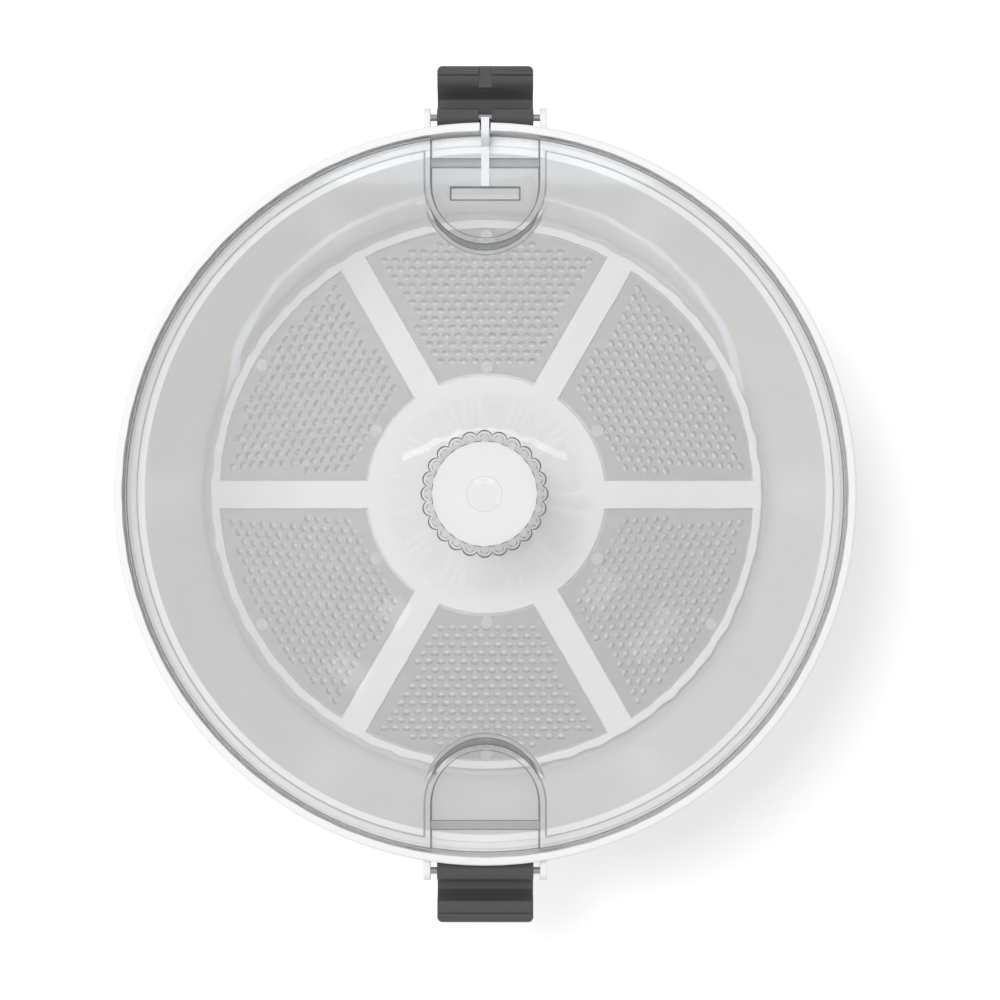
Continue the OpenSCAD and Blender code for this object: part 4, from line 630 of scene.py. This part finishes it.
class PEELER_OT_switch(PeelerOperator, bpy.types.Operator):
    """Make the grip ribs of the switch knob and the two marks beside it"""

    bl_idname = "peeler.switch"
    bl_label = "Switch"

    def execute(self, context):
        size = context.scene.peeler_sizes
        axis = Vector((0, 0, (KNOB_LOW.z + KNOB_HIGH.z) / 2))
        front, back = KNOB_LOW.y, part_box("knob_trim")[0].y - 0.8 * MM
        reach = KNOB_HIGH.x
        bm = bmesh.new()
        bmesh.ops.create_cone(bm, cap_ends=True, segments=14, radius1=size.rib_radius, radius2=size.rib_radius,
                              depth=back - front - 1.2 * MM)
        ends = [e for f in bm.faces if len(f.verts) > 4 for e in f.edges]
        bmesh.ops.bevel(bm, geom=ends, offset=0.45 * size.rib_radius, offset_type="OFFSET", segments=2, profile=0.5,
                        affect="EDGES", clamp_overlap=True, material=-1)
        bmesh.ops.rotate(bm, verts=bm.verts, cent=(0, 0, 0), matrix=Matrix.Rotation(math.pi / 2, 3, "X"))
        bmesh.ops.translate(bm, verts=bm.verts, vec=(reach - size.rib_radius, (front + 1.2 * MM + back) / 2, axis.z))
        repeat_round(bm, size.knob_ribs, "Y", axis)
        piece_from("knob_ribs", bm, "ABS, moulded dark grey", "knob", "dark_plastic")

        # off is a ring above the knob and on is a bar at its side, both raised a little from the housing
        housing = bmesh.new()
        housing.from_mesh(NODES["base_housing"].data)
        wall = BVHTree.FromBMesh(housing)
        housing.free()
        ring = bmesh.new()
        bmesh.ops.create_circle(ring, segments=40, radius=1.7 * MM)
        inner = bmesh.ops.duplicate(ring, geom=[*ring.verts, *ring.edges])["geom"]
        bmesh.ops.scale(ring, verts=only(inner), vec=(0.76, 0.76, 1))
        bmesh.ops.bridge_loops(ring, edges=ring.edges)
        bar = bmesh.new()
        bmesh.ops.create_grid(bar, x_segments=1, y_segments=1, size=1)
        bmesh.ops.scale(bar, verts=bar.verts, vec=(0.22 * MM, 1.7 * MM, 1))
        for name, bm, place in (("mark_off", ring, (0, 24 * MM)), ("mark_on", bar, (24 * MM, 0))):
            lifted = bmesh.ops.extrude_face_region(bm, geom=bm.faces[:])["geom"]
            bmesh.ops.translate(bm, vec=(0, 0, 0.25 * MM), verts=only(lifted))
            spot, normal, _, _ = wall.ray_cast(Vector((place[0], -0.3, axis.z + place[1])), Vector((0, 1, 0)))
            if spot is None:
                raise RuntimeError("no housing behind %s" % name)
            bmesh.ops.rotate(bm, verts=bm.verts, cent=(0, 0, 0), matrix=normal.to_track_quat("Z", "Y").to_matrix())
            bmesh.ops.translate(bm, verts=bm.verts, vec=spot - normal * 0.05 * MM)
            piece_from(name, bm, "ABS, moulded dark grey", "base", "dark_plastic")
        return {"FINISHED"}


class PEELER_OT_screws(PeelerOperator, bpy.types.Operator):
    """Make the cross-recessed screws of the bottom cover"""

    bl_idname = "peeler.screws"
    bl_label = "Cover screws"

    def execute(self, context):
        size = context.scene.peeler_sizes
        low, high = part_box("cover_screws")
        head, shank = 3.4 * MM, 1.55 * MM
        ring = (high.x - head) * math.sqrt(2)
        bm = bmesh.new()
        # the driver's cross: a plus of cells in a grid, pushed in and drawn together
        bmesh.ops.create_grid(bm, x_segments=7, y_segments=7, size=1)
        half = max(v.co.x for v in bm.verts)
        share = size.cross / 2 * 1.4 / half
        bmesh.ops.scale(bm, verts=bm.verts, vec=(share, share, 1))
        cell = size.cross / 5
        border = [e for e in bm.edges if e.is_boundary]
        plus = [f for f in bm.faces
                if min(abs(c) for c in f.calc_center_median().xy) < cell / 2
                and max(abs(c) for c in f.calc_center_median().xy) < 2.5 * cell]
        sunk = bmesh.ops.extrude_face_region(bm, geom=plus)["geom"]
        bmesh.ops.delete(bm, geom=[f for f in plus if f.is_valid], context="FACES_ONLY")
        sunk = only(sunk)
        bmesh.ops.translate(bm, vec=(0, 0, 1.3 * MM), verts=sunk)
        bmesh.ops.scale(bm, verts=sunk, vec=(0.6, 0.6, 1))
        # the head round it, then the shank and its point
        now = head - 0.35 * MM
        made = bmesh.ops.create_circle(bm, segments=28, radius=now)["verts"]
        edges = list({e for v in made for e in v.link_edges})
        bmesh.ops.bridge_loops(bm, edges=border + edges)
        length = high.z - low.z
        for radius, z in ((head, 0.3 * MM), (head, 2 * MM), (shank, 2 * MM), (shank, length - 1 * MM),
                          (0.3 * shank, length)):
            lifted = bmesh.ops.extrude_edge_only(bm, edges=edges)["geom"]
            verts = only(lifted)
            edges = only(lifted, bmesh.types.BMEdge)
            bmesh.ops.scale(bm, verts=verts, vec=(radius / now, radius / now, 1))
            bmesh.ops.translate(bm, vec=(0, 0, z - verts[0].co.z), verts=verts)
            now = radius
        bmesh.ops.edgeloop_fill(bm, edges=edges)
        bmesh.ops.translate(bm, vec=(ring, 0, low.z), verts=bm.verts)
        bmesh.ops.rotate(bm, verts=bm.verts, cent=(0, 0, 0), matrix=Matrix.Rotation(math.pi / 4, 3, "Z"))
        repeat_round(bm, 4, "Z")
        piece_from("cross_screws", bm, "Steel, zinc plated", "base", "plated_steel", "cover_screws")
        return {"FINISHED"}


class PEELER_OT_stage(PeelerOperator, bpy.types.Operator):
    """Set up the floor, lamps, background and camera"""

    bl_idname = "peeler.stage"
    bl_label = "Studio"

    def execute(self, context):
        scene, size = context.scene, context.scene.peeler_sizes
        rim_level = 215 * MM
        bm = bmesh.new()
        bmesh.ops.create_grid(bm, x_segments=1, y_segments=1, size=4)
        bmesh.ops.translate(bm, vec=(0, 0, CAD_BOX[0][2] - 0.05 * MM), verts=bm.verts)
        mesh = bpy.data.meshes.new("floor")
        bm.to_mesh(mesh)
        bm.free()
        floor = bpy.data.objects.new("floor", mesh)
        scene.collection.objects.link(floor)
        material = bpy.data.materials.new("Paper sweep, white")
        material.use_nodes = True
        tree = material.node_tree
        tree.nodes.clear()
        ray = add(tree, "ShaderNodeLightPath")
        seen = add(tree, "ShaderNodeMath", {0: ray.outputs["Is Camera Ray"], 1: ray.outputs["Is Glossy Ray"]},
                   operation="MAXIMUM")
        seen = add(tree, "ShaderNodeMath", {0: seen.outputs[0], 1: ray.outputs["Is Transmission Ray"]},
                   operation="MAXIMUM")
        paper = add(tree, "ShaderNodeBsdfDiffuse", {"Color": [1, 1, 1, 1]})
        lit = add(tree, "ShaderNodeEmission", {"Color": [1, 1, 1, 1], "Strength": 0.25})
        bright = add(tree, "ShaderNodeAddShader", {0: paper.outputs[0], 1: lit.outputs[0]})
        plain = add(tree, "ShaderNodeBsdfDiffuse", {"Color": linear("E8E8E8")})
        mix = add(tree, "ShaderNodeMixShader", {0: seen.outputs[0], 1: plain.outputs[0], 2: bright.outputs[0]})
        # from below the sheet is clear to the eye and to the under lamp, so that the underside can be looked at
        clear = add(tree, "ShaderNodeMath", {0: add(tree, "ShaderNodeNewGeometry").outputs["Backfacing"],
                                             1: ray.outputs["Is Shadow Ray"]}, operation="MAXIMUM")
        under = add(tree, "ShaderNodeMixShader", {
            0: clear.outputs[0], 1: mix.outputs[0], 2: add(tree, "ShaderNodeBsdfTransparent").outputs[0]})
        add(tree, "ShaderNodeOutputMaterial", {"Surface": under.outputs[0]})
        wear(floor, material)

        world = bpy.data.worlds.new("studio")
        scene.world = world
        world.use_nodes = True
        tree = world.node_tree
        tree.nodes.clear()
        ray = add(tree, "ShaderNodeLightPath")
        seen = add(tree, "ShaderNodeMath", {0: ray.outputs["Is Camera Ray"], 1: ray.outputs["Is Transmission Ray"]},
                   operation="MAXIMUM")
        soft = add(tree, "ShaderNodeBackground", {"Color": [1, 1, 1, 1], "Strength": 0.55})
        white = add(tree, "ShaderNodeBackground", {"Color": [1, 1, 1, 1], "Strength": 1.0})
        mix = add(tree, "ShaderNodeMixShader", {0: seen.outputs[0], 1: soft.outputs[0], 2: white.outputs[0]})
        add(tree, "ShaderNodeOutputWorld", {"Surface": mix.outputs[0]})

        for name, spot, wide, high, power, hue, mirrored in (
            ("top lamp", (0.22, 0.22, 2.1), 0.24, 0.24, 10.2, "FFFFFF", False),
            ("side lamp", (0.25, 0.75, 1.7), 0.5, 0.5, 5.6, "FFFCF8", False),
            ("under lamp", (0.0, 0.0, -1.2), 0.8, 0.8, 4.0, "FFFFFF", False),
            ("left window", (-0.87, 0.674, 1.235), 0.2, 0.13, 0.08, "FFFFFF", True),
            ("right window", (-0.704, -0.847, 1.235), 0.3, 0.13, 0.08, "FFFFFF", True),
            ("sky strip", (0.262, 0.0, 1.415), 1.2, 0.06, 0.6, "DCEBFF", True),
        ):
            lamp = bpy.data.lights.new(name, "AREA")
            lamp.color = linear(hue)[:3]
            lamp.shape, lamp.size, lamp.size_y, lamp.energy = "RECTANGLE", wide, high, power
            holder = bpy.data.objects.new(name, lamp)
            scene.collection.objects.link(holder)
            holder.visible_glossy = mirrored
            holder.visible_transmission = mirrored
            holder.location = spot
            holder.rotation_euler = (Vector((0, 0, 0.15)) - Vector(spot)).to_track_quat("-Z", "Y").to_euler()

        camera = bpy.data.cameras.new("camera")
        camera.sensor_width = 36
        camera.lens = 36 * size.camera_height / size.view_width
        camera.clip_end = 20
        holder = bpy.data.objects.new("camera", camera)
        scene.collection.objects.link(holder)
        holder.location = (-2.0 * MM, -5.0 * MM, rim_level + size.camera_height)
        holder.rotation_euler = (0, 0, -math.pi / 2)
        scene.camera = holder
        scene.view_settings.view_transform = "Standard"
        return {"FINISHED"}


class PEELER_PT_panel(bpy.types.Panel):
    bl_idname = "PEELER_PT_panel"
    bl_label = "Potato peeler"
    bl_space_type = "VIEW_3D"
    bl_region_type = "UI"
    bl_category = "Peeler"

    def draw(self, context):
        for group in (context.scene.peeler_sizes, context.scene.peeler_colours):
            box = self.layout.box()
            for key in group.bl_rna.properties.keys():
                if key not in ("rna_type", "name"):
                    box.prop(group, key)
        for step in STEPS:
            self.layout.operator(step.bl_idname)


STEPS = (PEELER_OT_nodes, PEELER_OT_mouldings, PEELER_OT_lid, PEELER_OT_cap, PEELER_OT_teeth, PEELER_OT_switch,
         PEELER_OT_screws, PEELER_OT_stage)
CLASSES = (PeelerSizes, PeelerColours, *STEPS, PEELER_PT_panel)


def register():
    for cls in CLASSES:
        bpy.utils.register_class(cls)
    bpy.types.Scene.peeler_sizes = PointerProperty(type=PeelerSizes)
    bpy.types.Scene.peeler_colours = PointerProperty(type=PeelerColours)


def unregister():
    del bpy.types.Scene.peeler_colours
    del bpy.types.Scene.peeler_sizes
    for cls in reversed(CLASSES):
        bpy.utils.unregister_class(cls)


def main():
    register()
    bpy.ops.peeler.nodes()
    bpy.ops.peeler.mouldings()
    bpy.ops.peeler.lid()
    bpy.ops.peeler.cap()
    bpy.ops.peeler.teeth()
    bpy.ops.peeler.switch()
    bpy.ops.peeler.screws()
    bpy.ops.peeler.stage()


if __name__ == "__main__":
    main()
